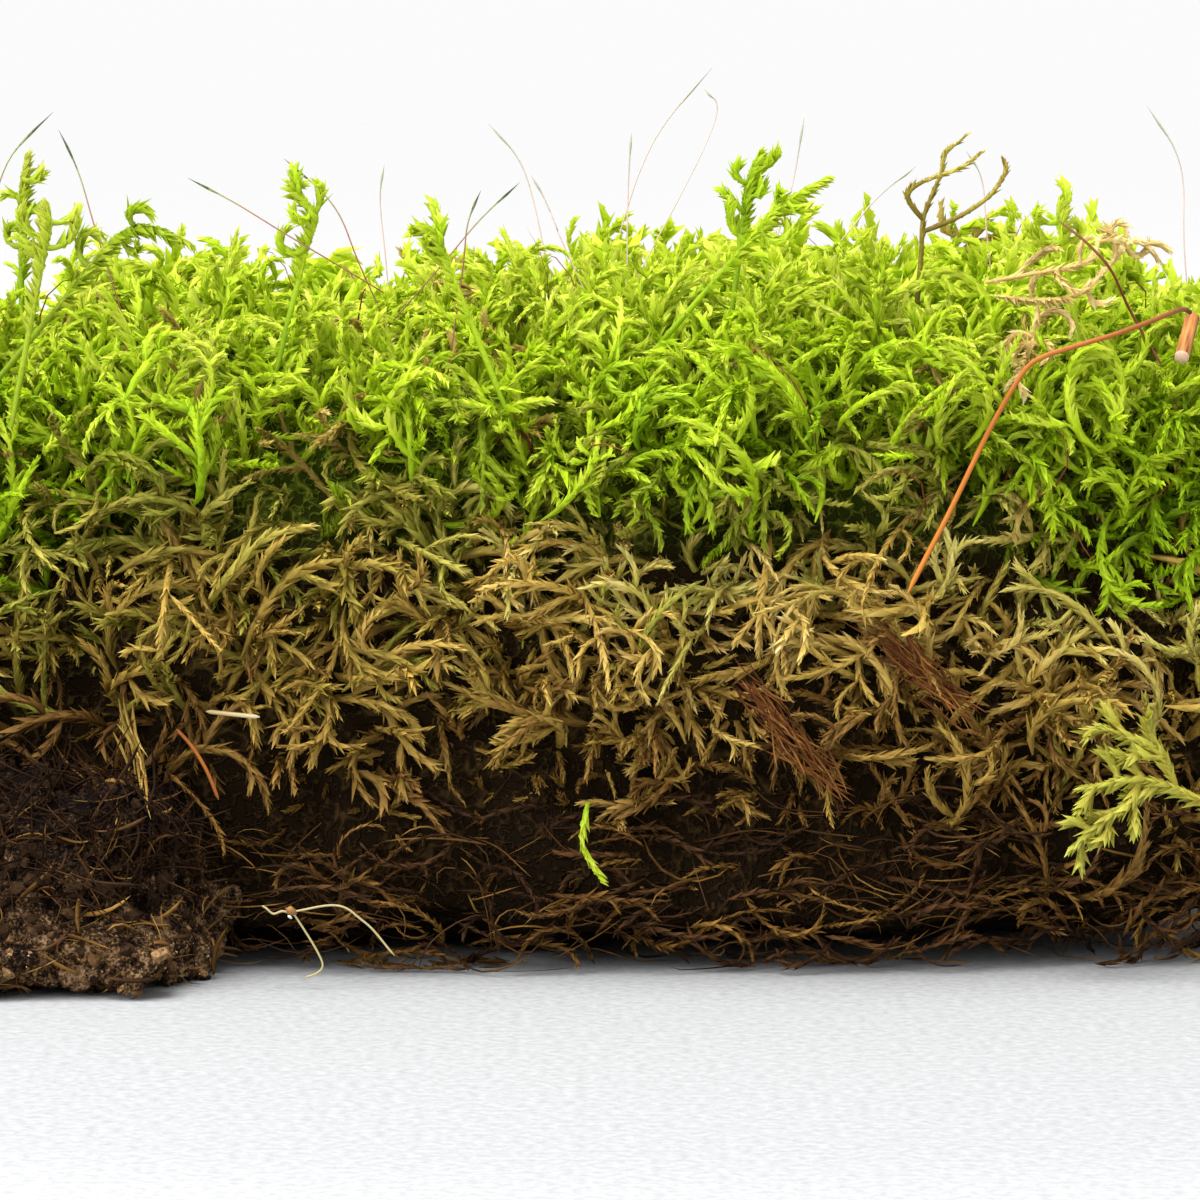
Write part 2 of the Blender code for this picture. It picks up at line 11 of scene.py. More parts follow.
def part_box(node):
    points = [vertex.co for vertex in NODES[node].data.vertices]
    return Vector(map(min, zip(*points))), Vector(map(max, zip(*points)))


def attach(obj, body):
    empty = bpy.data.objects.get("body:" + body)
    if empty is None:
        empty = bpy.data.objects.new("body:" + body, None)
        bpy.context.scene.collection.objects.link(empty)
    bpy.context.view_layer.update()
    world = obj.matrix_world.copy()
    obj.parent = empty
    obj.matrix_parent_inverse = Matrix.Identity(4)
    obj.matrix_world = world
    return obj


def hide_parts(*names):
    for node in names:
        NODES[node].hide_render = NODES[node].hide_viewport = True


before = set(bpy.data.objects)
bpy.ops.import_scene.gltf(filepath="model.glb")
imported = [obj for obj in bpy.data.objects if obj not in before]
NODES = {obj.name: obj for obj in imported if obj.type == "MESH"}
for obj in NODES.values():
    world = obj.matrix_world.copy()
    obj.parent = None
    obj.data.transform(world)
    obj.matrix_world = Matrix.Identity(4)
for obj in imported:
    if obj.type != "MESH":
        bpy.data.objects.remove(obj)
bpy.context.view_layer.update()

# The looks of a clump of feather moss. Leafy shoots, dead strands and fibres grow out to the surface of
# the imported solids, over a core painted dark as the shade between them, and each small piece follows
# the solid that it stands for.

MM = 0.001

UP = np.array([0.0, 0.0, 1.0])
TURN = 2 * math.pi
# The turn from one leaf to the next around a stem
LEAF_TURN = math.radians(137.5)
# How much more a shoot curls towards its tip: 0 is the same all along
CURLING = 1.3
# Points along a shoot, strand or fibre, and along a side branch
LINE_POINTS, BRANCH_POINTS = 7, 5

# The camera looks at the middle of the front face, from a little above.
TARGET = Vector((0, -39, 32)) * MM
CAMERA_RISE = math.radians(5)
CAMERA_DISTANCE = 480 * MM
FRAME_WIDTH = 100 * MM
SENSOR = 36

# The cushion's middle and half sizes, which give the way out of it at any place
CUSHION_MIDDLE = np.array([0, 0, 32]) * MM
CUSHION_REACH = np.array([64, 39, 25]) * MM
# The core inside it, painted dark as the shade between the shoots
CORE_REACH = np.array([59, 34]) * MM
CORE_FOOT, CORE_TOP = 0.5 * MM, 52.5 * MM

# The photograph's view shows the front. Growth thins out from the first of these to the second.
DENSE_TO, THIN_FROM = -25 * MM, 25 * MM
# Above this the canopy is closed.
CLOSED_FROM = 51 * MM
# Leaves are finest in front of this. Behind it they are this much further apart, longer and broader.
FINE_TO = -15 * MM
COARSE_SPACING, COARSE_LENGTH, COARSE_WIDTH = 2.35, 1.35, 1.75
# On the right of this the closed canopy stands at its highest. Its shoots end this far down in the
# green solid there, and that far elsewhere.
HIGH_FROM = 38 * MM
HIGH_DEPTH, CLOSED_DEPTH = 0.1 * MM, 1.2 * MM
# No other body is this near to a surface that shoots grow out of.
CLEARANCE = 1.2 * MM

# The share of the living shoots that are withered, their age, and the number of bare stems
WITHERED, WITHERED_AGE = 0.035, 0.95
BARE_STEMS = 90
# The dead side is hollow in lumps of about this size, where the noise is over this, above this height.
HOLLOW_SIZE, HOLLOW_OVER, HOLLOW_FROM = 5.5 * MM, 0.24, 19 * MM
# One patch of the green face, across and up, is withered too.
WITHERED_PATCH = np.array([-26.5, 45]) * MM
WITHERED_PATCH_REACH = np.array([4, 3.2]) * MM
# Left of, in front of and below this, the side is dark and open.
DARK_CORNER = np.array([-29, 0, 25]) * MM

# Grains on the clod, and one in so many is a larger crumb. The tangle on it starts at this height.
GRAINS, CRUMB_EVERY = 15000, 7
ROOTS, SHREDS, RHIZOIDS = 70, 260, 480
TANGLE_FROM = 8 * MM

# Spore stalks behind this are paler.
FAR_FROM = -15 * MM
# How far a spore stalk or single shoot goes on into the moss
ROOTED = 5 * MM
# The step in tint from one numbered piece to the next, out of 1
TINT_STEP = 0.37

BODIES = ("green_moss", "brown_moss", "humus_mat", "soil_clod")
# Pieces that lie on the face, with nothing grown over them
LYING = ("red_stalk", "thin_stalk", "twig_stub", "dry_strand_1", "dry_strand_2", "dry_strand_3",
         "straw_bit", "needle_bit")

# The branched pieces' routes through (x, y, z) in mm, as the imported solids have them
CURLY_SPRIG = (
    ((27.5, -14, 54), (28, -14, 60), (28.2, -14, 63.3), (29.6, -14, 66.9), (30, -14, 68.7),
     (31.7, -14, 70.3)),
    ((28.2, -14, 63), (26.8, -14.5, 65), (27.9, -15, 66.3), (31.2, -15, 67.6), (32.9, -15, 68.8)),
    ((28.1, -14, 62), (31.2, -14, 63.3), (33.8, -14, 65), (35.2, -14, 66.9), (35.2, -14, 68)),
)
SIDE_SPRIG = (
    ((52, 0, 14.5), (46, 0, 17), (40.5, 0, 16.5)),
    ((47, 0, 17), (43, 0, 14.5), (39.5, 0, 11.5)),
    ((48, 0, 16.5), (46.5, 0, 19.5), (42, 0, 21.5)),
)
ROOTLET_THREADS = (
    ((-25.5, 0, 6.5), (-24.4, 0, 4.8), (-23.4, 0, 3.1), (-23, 0, 2), (-23.5, 0, 1.35), (-24.5, 0, 1)),
    ((-28, 0, 7), (-27, 0, 6.4), (-25.5, 0, 6.5)),
    ((-25.5, 0, 6.5), (-21.5, 0, 7), (-19.5, 0, 5.5), (-17, 0, 3)),
)
BULB_RADIUS = 0.55 * MM
# The straw bundle's line across and up, in mm
STRAW_BUNDLE = ((-39.8, 22.3), (-38.8, 18.5), (-37.5, 14.8))


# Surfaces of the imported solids


def node_mesh(name):
    mesh = NODES[name].data
    mesh.calc_loop_triangles()
    places = np.empty(3 * len(mesh.vertices))
    mesh.vertices.foreach_get("co", places)
    index = np.empty(3 * len(mesh.loop_triangles), dtype=np.int32)
    mesh.loop_triangles.foreach_get("vertices", index)
    return places.reshape(-1, 3), index.reshape(-1, 3)


def triangles_of(name):
    """Corners of a node's triangles and twice their area as outward vectors, in a fixed order."""
    places, index = node_mesh(name)
    corners = places[index]
    outward = np.cross(corners[:, 1] - corners[:, 0], corners[:, 2] - corners[:, 0])
    order = np.lexsort(np.round(corners.mean(axis=1), 6).T)
    return corners[order], outward[order]


def tree_of(name):
    places, index = node_mesh(name)
    return BVHTree.FromPolygons(places.tolist(), index.tolist())


TREES = {name: tree_of(name) for name in BODIES}


def unit(vectors):
    return vectors / np.maximum(np.linalg.norm(vectors, axis=-1, keepdims=True), 1e-9)


def only(kept, *arrays):
    return [array[kept] for array in arrays]


def ramped(values, start, reach, low=0.0, high=1.0):
    """0 at start and 1 that reach beyond it, both in mm, and kept between low and high."""
    return np.clip((values - start * MM) / (reach * MM), low, high)


def way_out(places):
    """Unit vectors away from the middle of the cushion, square to its overall form."""
    away = (places - CUSHION_MIDDLE) / CUSHION_REACH
    away[:, 2] = np.maximum(away[:, 2], -0.3)
    return unit(np.sign(away) * np.abs(away) ** 3 / CUSHION_REACH)


def distance_to(name, places):
    return np.array([TREES[name].find_nearest(place)[3] for place in places.tolist()])


def outside(places):
    """How far each place lies outside all the big bodies, in metres. It is negative inside one."""
    found = []
    for place in places.reshape(-1, 3).tolist():
        nearest = []
        for tree in TREES.values():
            hit, normal, _, away = tree.find_nearest(place)
            nearest.append(math.copysign(away, (Vector(place) - hit).dot(normal)))
        found.append(min(nearest))
    return np.array(found).reshape(places.shape[:-1])


def open_to_air(name, places, normals):
    """Whether no other layer lies against the surface at each place."""
    others = [tree for other, tree in TREES.items() if other != name]
    clear = []
    for place, normal in zip(places.tolist(), normals.tolist()):
        start = Vector(place) + Vector(normal) * 0.05 * MM
        clear.append(all(tree.ray_cast(start, Vector(normal), CLEARANCE)[0] is None for tree in others))
    return np.array(clear)


def scatter(name, count, draw):
    """Places spread evenly over a node's open surface, with its outward directions."""
    corners, outward = triangles_of(name)
    area = np.linalg.norm(outward, axis=1)
    pick = draw.choice(len(area), size=count, p=area / area.sum())
    a, b = draw.random((2, count, 1))
    folded = a + b > 1
    a, b = np.where(folded, 1 - a, a), np.where(folded, 1 - b, b)
    start, second, third = corners[pick].transpose(1, 0, 2)
    places = start + a * (second - start) + b * (third - start)
    normals = outward[pick] / area[pick, None]
    return only(open_to_air(name, places, normals) & (places[:, 2] > 0.5 * MM), places, normals)


def thinned(places, spacings):
    """Numbers of the places that, taken in turn, keep their spacing from those before."""
    cell = float(spacings.max())
    cells, taken = {}, []
    steps = [(i, j, k) for i in (-1, 0, 1) for j in (-1, 0, 1) for k in (-1, 0, 1)]
    for number, (place, spacing) in enumerate(zip(places.tolist(), spacings.tolist())):
        x, y, z = (int(c // cell) for c in place)
        near = (cells.get((x + i, y + j, z + k), ()) for i, j, k in steps)
        if all(math.dist(place, other) >= spacing for some in near for other in some):
            cells.setdefault((x, y, z), []).append(place)
            taken.append(number)
    return np.array(taken, dtype=int)


def spaced_over(name, candidates, front, back, draw):
    """Places on a node's open surface, at one spacing in front that grows to another behind."""
    places, normals = scatter(name, candidates, draw)
    behind = np.clip((places[:, 1] - DENSE_TO) / (THIN_FROM - DENSE_TO), 0, 1)
    # The top is as dense as the front.
    behind[places[:, 2] > CLOSED_FROM] = 0
    return only(thinned(places, front + (back - front) * behind), places, normals)


# Centre lines of shoots, strands and fibres, as arrays of lines x points x coordinates


def arcs(heading, toward, degrees, length, sway, draw, points=LINE_POINTS):
    """Lines from the origin out along heading that curl, more and more, the way of toward."""
    count = len(heading)
    t = np.linspace(0, 1, points)[None, :, None]
    turned = np.radians(degrees)[:, None, None] * ((t[:, 1:] + t[:, :-1]) / 2) ** CURLING
    # Each line leans back at its foot, so that its two ends lie along heading.
    turned -= np.arctan2(np.sin(turned).sum(axis=1), np.cos(turned).sum(axis=1))[:, None]
    steps = np.cos(turned) * heading[:, None] + np.sin(turned) * sideways(heading, toward)[:, None]
    arc = np.concatenate((np.zeros((count, 1, 3)), np.cumsum(steps, axis=1) / (points - 1)), axis=1)
    wave = draw.uniform(0.6, 1.4, (count, 1, 1)) * math.pi
    phase = draw.uniform(0, TURN, (count, 1, 1))
    swing = unit(draw.normal(size=(count, 1, 3))) * sway
    return (arc + swing * (np.sin(wave * t + phase) - np.sin(phase))) * length[:, None, None]


def hollow_side(lines):
    """Unit vectors towards the inside of each line's curl."""
    middle = lines[:, lines.shape[1] // 2]
    return unit(lines[:, 0] + lines[:, -1] - 2 * middle + 1e-3 * MM * np.array([0.2, -1, 0.3]))


def grown(places, out, depth, room, curl, draw):
    """Arcs that end at that depth below the places, and pass no further than room outside the bodies."""
    lines = arcs(*curl, draw)
    lines = lines + (places - out * depth[:, None] - lines[:, -1])[:, None]
    over = np.maximum(outside(lines).max(axis=1) - room, 0)
    return lines - (out * over[:, None])[:, None]


def lengths_of(lines):
    return np.linalg.norm(np.diff(lines, axis=1), axis=2).sum(axis=1)


def along(lines, which, t):
    """Points at the parameters t, from 0 to 1, of the lines with those numbers."""
    at = t * (lines.shape[1] - 1)
    k = np.minimum(at.astype(int), lines.shape[1] - 2)
    part = (at - k)[:, None]
    return lines[which, k] * (1 - part) + lines[which, k + 1] * part


def tangents(lines):
    return unit(np.gradient(lines, axis=1))


def sideways(stem, near):
    """Unit vectors square to the stems and as near as may be to the given directions."""
    return unit(near - (near * stem).sum(axis=-1, keepdims=True) * stem)


def smooth(knots, count):
    """Points at even steps on a smooth curve through the knots."""
    ends = np.vstack((2 * knots[0] - knots[1], knots, 2 * knots[-1] - knots[-2]))
    at = np.linspace(0, len(knots) - 1, count)
    k = np.minimum(at.astype(int), len(knots) - 2)
    t = (at - k)[:, None]
    a, b, c, d = ends[k], ends[k + 1], ends[k + 2], ends[k + 3]
    bend = (2 * a - 5 * b + 4 * c - d) * t**2 + (3 * b - a - 3 * c + d) * t**3
    return 0.5 * (2 * b + (c - a) * t + bend)


def spine(name, count):
    """The middle line of a packed four-sided tube, from its thicker end to its thinner one."""
    places, index = node_mesh(name)
    corners, number = np.unique(np.round(places, 6), axis=0, return_inverse=True)
    faces = number.reshape(-1)[index]
    beside = {k: set() for k in range(len(corners))}
    for a, b, c in faces.tolist():
        beside[a] |= {b, c}
        beside[b] |= {a, c}
        beside[c] |= {a, b}

    def furthest(place):
        return corners[np.argmax(np.linalg.norm(corners - place, axis=1))]

    def end_ring(place):
        away = np.linalg.norm(corners - place, axis=1)
        return set(np.argsort(away)[:4].tolist()), np.sort(away)[3]

    one_end = furthest(corners.mean(axis=0))
    ring, _ = min((end_ring(end) for end in (one_end, furthest(one_end))), key=lambda end: end[1])
    seen, middles = set(), []
    while ring:
        middles.append(corners[sorted(ring)].mean(axis=0))
        seen |= ring
        ring = set().union(*(beside[k] for k in ring)) - seen
    return smooth(np.array(middles[::-1]), count)


def covers_lying(lines, room):
    """Whether each line passes in front of one of the pieces that lie on the face."""
    found = np.zeros(len(lines), dtype=bool)
    for name in LYING:
        away = lines[:, :, None] - spine(name, 40)
        beside = np.hypot(away[..., 0], away[..., 2]) < room
        found |= (beside & (away[..., 1] < 0)).any(axis=(1, 2))
    return found


def rooted(line, count):
    """The line begun further back, in the moss."""
    start = line[0] - unit(line[1] - line[0]) * ROOTED
    return smooth(np.vstack((start, line)), count)


@dataclass
class Branching:
    """Side branches of a shoot.

    Their length is in metres, first and last are places along the shoot, from 0 to 1, and angle and
    turn are in degrees.
    """

    count: int
    length: float
    first: float
    last: float
    angle: float
    turn: float
    droop: float


def branched(lines, face, branching, draw):
    """Side branches to the left and right in turn, and the number of the shoot that each grows on.

    face is square to the plane that a shoot's branches lie in.
    """
    count = len(lines) * branching.count
    which = np.repeat(np.arange(len(lines)), branching.count)
    number = np.tile(np.arange(branching.count), len(lines))
    share = (number + draw.uniform(0.1, 0.9, count)) / branching.count
    start_t = branching.first + (branching.last - branching.first) * share
    stem = unit(along(tangents(lines), which, start_t))
    across = unit(np.cross(stem, face[which])) * np.where(number % 2, 1, -1)[:, None]
    angle = np.radians(branching.angle) * draw.uniform(0.7, 1.3, count)[:, None]
    heading = unit(np.cos(angle) * stem + np.sin(angle) * across + draw.normal(0, 0.22, (count, 3)))
    length = branching.length * (1 - 0.45 * share) * draw.uniform(0.6, 1.25, count)
    toward = stem - branching.droop * UP + draw.normal(0, 0.6, (count, 3))
    degrees = branching.turn * draw.uniform(0.2, 1.5, count)
    made = arcs(heading, toward, degrees, length, 0.04, draw, BRANCH_POINTS)
    return made + along(lines, which, start_t)[:, None], which


# Many small items that share one form: verts and growth are items x corners x values


@dataclass
class Batch:
    verts: np.ndarray
    growth: np.ndarray
    triangles: np.ndarray
    chart: np.ndarray


@dataclass
class Leaf:
    """Length, width and spacing along the stem in metres, and angles from the stem in degrees."""

    length: float
    width: float
    spacing: float
    spread: float
    curl: float = 8.0
    hook: float = 0.3
    bare: float = 0.0


def growth_of(age, tint, along_it):
    """What the finishes read: the age and tint of the shoot, and the place along the leaf."""
    return np.stack(np.broadcast_arrays(age[:, None], tint[:, None], along_it), axis=2)


# A leaf's corners: base, left, right and tip, with their places in its cell of the map
LEAF_CHART = np.array([[0.5, 0.04], [0.08, 0.4], [0.92, 0.4], [0.5, 0.96]])
LEAF_FACES = np.array([[0, 2, 3], [0, 3, 1]])
# Where along a leaf it is widest
WIDEST = 0.38


def leaves(lines, age, tint, plump, leaf, draw):
    """Pointed leaves, folded along the middle and hooked at the tip, in a spiral round each stem."""
    counts = np.maximum((lengths_of(lines) * (1 - leaf.bare) / (leaf.spacing * plump)).astype(int), 4)
    which = np.repeat(np.arange(len(lines)), counts)
    count = len(which)
    number = np.arange(count) - np.repeat(np.cumsum(counts) - counts, counts)
    share = (number + 0.5) / counts[which]
    t = leaf.bare + (1 - leaf.bare) * share
    base = along(lines, which, t)
    stem = unit(along(tangents(lines), which, t))
    inside = sideways(stem, hollow_side(lines)[which])
    turn = number * LEAF_TURN + draw.uniform(0, TURN, len(lines))[which] + draw.normal(0, 0.3, count)
    out = np.cos(turn)[:, None] * inside + np.sin(turn)[:, None] * np.cross(stem, inside)
    # Leaves close up over the growing tip, where they are also smaller.
    closing = np.clip((share - 0.7) / 0.3, 0, 1)
    spread = np.radians(leaf.spread) * draw.uniform(0.6, 1.4, count) * (1 - 0.6 * closing)
    end_spread = spread + np.radians(leaf.curl) * draw.uniform(-0.5, 2.2, count)
    size = plump[which] * draw.uniform(0.75, 1.2, count) * (1 - 0.4 * closing)
    length = (leaf.length * size)[:, None]
    low = np.cos(spread)[:, None] * stem + np.sin(spread)[:, None] * out
    high = np.cos(end_spread)[:, None] * stem + np.sin(end_spread)[:, None] * out + leaf.hook * inside
    half = np.cross(stem, out) * (leaf.width / 2 * size)[:, None]
    fold = out * (leaf.width * 0.25 * size)[:, None]
    widest = base + low * length * WIDEST
    tip = widest + unit(high) * length * (1 - WIDEST)
    verts = np.stack((base + fold, widest - half - fold, widest + half - fold, tip), axis=1)
    along_it = 0.8 * np.array([0, WIDEST, WIDEST, 1]) + 0.2 * share[:, None]
    tint = np.clip(tint[which] + draw.normal(0, 0.1, count), 0, 1)
    return Batch(verts, growth_of(age[which], tint, along_it), LEAF_FACES, LEAF_CHART[LEAF_FACES])


def tapering(thick, points=LINE_POINTS, start=0.2, end=0.35):
    """Radii of stems that widen from one share of their size, thin out to another and end in a point."""
    t = np.linspace(0, 1, points)
    taper = np.minimum(start + 4 * t, 1) * (1 - (1 - end) * t)
    taper[-1] = 0.02
    return thick[:, None] / 2 * taper


def stems(lines, age, tint, radius, sides=3):
    """Round stems with the radius at each point of each line."""
    count, points = lines.shape[:2]
    stem = tangents(lines)
    side = sideways(stem, hollow_side(lines)[:, None])
    other = np.cross(stem, side)
    turns = np.linspace(0, TURN, sides, endpoint=False)
    rings = [lines + radius[..., None] * (math.cos(a) * side + math.sin(a) * other) for a in turns]
    verts = np.stack(rings, axis=2).reshape(count, points * sides, 3)
    growth = growth_of(age, tint, np.repeat(np.linspace(0, 1, points), sides)[None])
    triangles, chart = [], []
    for k in range(points - 1):
        for s in range(sides):
            a, b = k * sides + s, k * sides + (s + 1) % sides
            c, d = a + sides, b + sides
            left, right = s / sides, (s + 1) / sides
            low, high = k / (points - 1), (k + 1) / (points - 1)
            first, last = (left, low), (right, high)
            triangles += [(a, b, d), (a, d, c)]
            chart += [(first, (right, low), last), (first, last, (left, high))]
    return Batch(verts, growth, np.array(triangles), np.array(chart) * 0.9 + 0.05)


def foliage(lines, age, tint, plump, thick, leaf, draw):
    """Leafy stems, with fewer and broader leaves on those that lie further back."""
    batches = []
    close = lines[:, -1, 1] < FINE_TO
    coarse = replace(leaf, spacing=leaf.spacing * COARSE_SPACING, length=leaf.length * COARSE_LENGTH,
                     width=leaf.width * COARSE_WIDTH)
    for kept, kind, step in ((close, leaf, 1), (~close, coarse, 2)):
        if kept.any():
            part = [lines[kept][:, ::step], age[kept], tint[kept]]
            batches.append(stems(*part, tapering(thick * plump[kept], part[0].shape[1])))
            batches.append(leaves(*part, plump[kept], kind, draw))
    return batches


def shade(mesh, smooth):
    mesh.polygons.foreach_set("use_smooth", np.full(len(mesh.polygons), smooth))


def piece(name, batches, finish, slot, *stands_for):
    """One mesh of all the items. Each item has a cell of its own in the map for its finish."""
    items = sum(len(batch.verts) for batch in batches)
    across = math.ceil(math.sqrt(items))
    verts, triangles, growth, chart = [], [], [], []
    first_vert = first_item = 0
    for batch in batches:
        count, corners = batch.verts.shape[:2]
        offsets = first_vert + np.arange(count) * corners
        cells = first_item + np.arange(count)
        corner = np.stack((cells % across, cells // across), axis=1)[:, None, None]
        verts.append(batch.verts.reshape(-1, 3))
        growth.append(batch.growth.reshape(-1, 3))
        triangles.append((batch.triangles[None] + offsets[:, None, None]).reshape(-1, 3))
        chart.append(((batch.chart[None] + corner) / across).reshape(-1, 2))
        first_vert += count * corners
        first_item += count
    verts, growth = np.concatenate(verts), np.concatenate(growth)
    triangles, chart = np.concatenate(triangles), np.concatenate(chart)
    mesh = bpy.data.meshes.new(name)
    mesh.vertices.add(len(verts))
    mesh.vertices.foreach_set("co", verts.ravel())
    mesh.loops.add(triangles.size)
    mesh.loops.foreach_set("vertex_index", triangles.ravel())
    mesh.polygons.add(len(triangles))
    mesh.polygons.foreach_set("loop_start", np.arange(len(triangles)) * 3)
    mesh.update(calc_edges=True)
    shade(mesh, True)
    mesh.uv_layers.new(name="OFBake").data.foreach_set("uv", chart.ravel())
    colours = mesh.color_attributes.new("growth", "FLOAT_COLOR", "POINT")
    colours.data.foreach_set("color", np.column_stack((growth, np.ones(len(growth)))).ravel())
    return shown(name, mesh, finish, slot, *stands_for)


def placed(name, data):
    made = bpy.data.objects.new(name, data)
    bpy.context.scene.collection.objects.link(made)
    return made


def shown(name, mesh, finish, slot, *stands_for):
    mesh.materials.append(finish)
    made = placed(name, mesh)
    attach(made, "root")
    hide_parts(*stands_for)
    return made


# Finishes

# How quickly a painted thread fades from its middle
THREAD_STEEP = 22
# How far before and after its age one ramp gives way to the next
AGE_BLEND = 0.18

# Numbers of the colour mixer's sockets, because those of its other kinds have the same names
MIX_SHARE, MIX_FIRST, MIX_SECOND, MIX_RESULT = 0, 6, 7, 2


class Finish:
    """Builds one material from nodes."""

    def __init__(self, name):
        self.material = bpy.data.materials.new(name)
        self.material.use_nodes = True
        self.tree = self.material.node_tree
        self.shader = self.tree.nodes["Principled BSDF"]
        self.place = self.node("ShaderNodeTexCoord").outputs["Object"]

    def put(self, socket, value):
        if isinstance(value, bpy.types.NodeSocket):
            self.tree.links.new(value, socket)
        else:
            socket.default_value = value

    def node(self, kind, inputs=(), **settings):
        made = self.tree.nodes.new(kind)
        for key, value in settings.items():
            setattr(made, key, value)
        for key, value in dict(inputs).items():
            self.put(made.inputs[key], value)
        return made

    def growth(self):
        """Age and tint of the shoot and the place along the leaf, each from 0 to 1."""
        read = self.node("ShaderNodeAttribute", attribute_name="growth").outputs["Color"]
        split = self.node("ShaderNodeSeparateColor", {"Color": read}).outputs
        return split["Red"], split["Green"], split["Blue"]

    def noise(self, size, detail=3):
        """Uneven values about one half, in lumps of about that size."""
        inputs = {"Vector": self.place, "Scale": 1 / size, "Detail": detail}
        return self.node("ShaderNodeTexNoise", inputs).outputs["Fac"]

    def tangle(self, *sizes):
        """Crooked threads, 1 along their middles, of each of the sizes laid over one another."""
        over = 0.0
        for size in sizes:
            apart = self.sums((self.noise(size, 2), THREAD_STEEP), start=-0.5 * THREAD_STEEP)
            thread = self.reckon("SUBTRACT", 1.0, self.reckon("ABSOLUTE", apart), use_clamp=True)
            over = self.reckon("MAXIMUM", thread, over)
        return over

    def height(self):
        return self.node("ShaderNodeSeparateXYZ", {0: self.place}).outputs["Z"]

    def reckon(self, operation, *values, **settings):
        inputs = dict(enumerate(values))
        return self.node("ShaderNodeMath", inputs, operation=operation, **settings).outputs[0]

    def sums(self, *terms, start=0.0):
        """start plus each value times its share."""
        total = start
        for value, share in terms:
            total = self.reckon("MULTIPLY_ADD", value, share, total)
        return total

    def ramp(self, value, *stops):
        """A colour ramp through stops of (place, linear red, green, blue)."""
        made = self.node("ShaderNodeValToRGB", {"Fac": value})
        points = made.color_ramp.elements
        for _ in stops[2:]:
            points.new(0.5)
        for point, stop in zip(points, stops):
            point.position = stop[0]
            point.color = (*stop[1:], 1)
        return made.outputs["Color"]

    def step(self, value, start, end):
        """0 where the value is below start, 1 where it is over end, and even in between."""
        return self.ramp(value, (start, 0, 0, 0), (end, 1, 1, 1))

    def mix(self, share, first, second):
        inputs = {MIX_SHARE: share, MIX_FIRST: first, MIX_SECOND: second}
        return self.node("ShaderNodeMix", inputs, data_type="RGBA").outputs[MIX_RESULT]

    def surface(self, colour, roughness, shine, height, bump):
        self.put(self.shader.inputs["Base Color"], colour)
        self.put(self.shader.inputs["Roughness"], roughness)
        self.put(self.shader.inputs["Specular IOR Level"], shine)
        bumps = self.node("ShaderNodeBump", {"Height": height, "Distance": bump}).outputs["Normal"]
        self.put(self.shader.inputs["Normal"], bumps)
        return self

    def let_light_through(self, colour, share):
        """Thin leaves glow a little where the light is behind them."""
        glow = self.node("ShaderNodeBsdfTranslucent", {"Color": colour}).outputs["BSDF"]
        both = self.node("ShaderNodeMixShader", {0: share, 1: self.shader.outputs["BSDF"], 2: glow})
        self.put(self.tree.nodes["Material Output"].inputs["Surface"], both.outputs[0])
        return self


def leafy_finish(name, *by_age, clear, roughness=0.5, shine=0.3, lift=0.0):
    """Leaves take their colour by tint and place from a ramp, and go from ramp to ramp as they age.

    by_age has the ramps, and between them the ages at which one gives way to the next.
    """
    finish = Finish(name)
    age, tint, place = finish.growth()
    patches = finish.noise(6 * MM, 2)
    fine = finish.noise(0.5 * MM, 3)
    tone = finish.sums((tint, 0.4), (place, 0.45), (patches, 0.5), (fine, 0.25), start=lift - 0.3)
    turned = finish.sums((age, 1.0), (patches, 0.4), start=-0.2)
    colour = finish.ramp(tone, *by_age[0])
    for change, aged in zip(by_age[1::2], by_age[2::2]):
        share = finish.step(turned, max(change - AGE_BLEND, 0), min(change + AGE_BLEND, 1))
        colour = finish.mix(share, colour, finish.ramp(tone, *aged))
    finish.surface(colour, roughness, shine, fine, 0.08 * MM)
    return finish.let_light_through(colour, clear).material


def plain_finish(name, stops, roughness, shine=0.3):
    """A bare stalk, straw or thread: its colour runs from foot to tip and is mottled by its grain."""
    finish = Finish(name)
    _, tint, place = finish.growth()
    grains = finish.noise(0.4 * MM, 4)
    colour = finish.ramp(finish.sums((place, 0.9), (tint, 0.1), (grains, 0.3), start=-0.15), *stops)
    return finish.surface(colour, roughness, shine, grains, 0.06 * MM).material


# Fresh green along the tone. Its palest, whitish stops are partly painted highlight, for the strongly lit
# tips, and partly the tips' own paler green.
FRESH_GREEN_AND_PAINTED_LIGHT = (
    (0.0, 0.1, 0.2, 0.004), (0.3, 0.29, 0.47, 0.008), (0.6, 0.54, 0.71, 0.018),
    (0.85, 0.77, 0.83, 0.09), (1.0, 0.9, 0.89, 0.34),
)
TURNING_OLIVE = (
    (0.0, 0.06, 0.065, 0.004), (0.35, 0.22, 0.22, 0.018), (0.7, 0.47, 0.44, 0.07),
    (1.0, 0.68, 0.6, 0.22),
)
DEAD_TAN = (
    (0.0, 0.06, 0.032, 0.005), (0.3, 0.23, 0.14, 0.022), (0.6, 0.52, 0.345, 0.062),
    (0.85, 0.68, 0.49, 0.12), (1.0, 0.78, 0.64, 0.27),
)
PALE_TAN = (
    (0.0, 0.2, 0.11, 0.025), (0.35, 0.5, 0.34, 0.09), (0.7, 0.76, 0.56, 0.19),
    (1.0, 0.88, 0.75, 0.38),
)
WITHERED_STRAW = (
    (0.0, 0.2, 0.12, 0.015), (0.4, 0.44, 0.31, 0.055), (0.8, 0.7, 0.55, 0.15),
    (1.0, 0.85, 0.75, 0.36),
)
DEAD_BROWN = (
    (0.0, 0.02, 0.008, 0.002), (0.4, 0.12, 0.055, 0.01), (0.75, 0.32, 0.17, 0.035),
    (1.0, 0.52, 0.32, 0.1),
)
HUMUS_DARK = (
    (0.0, 0.008, 0.003, 0.001), (0.4, 0.035, 0.015, 0.005), (0.75, 0.12, 0.052, 0.016),
    (1.0, 0.28, 0.15, 0.055),
)
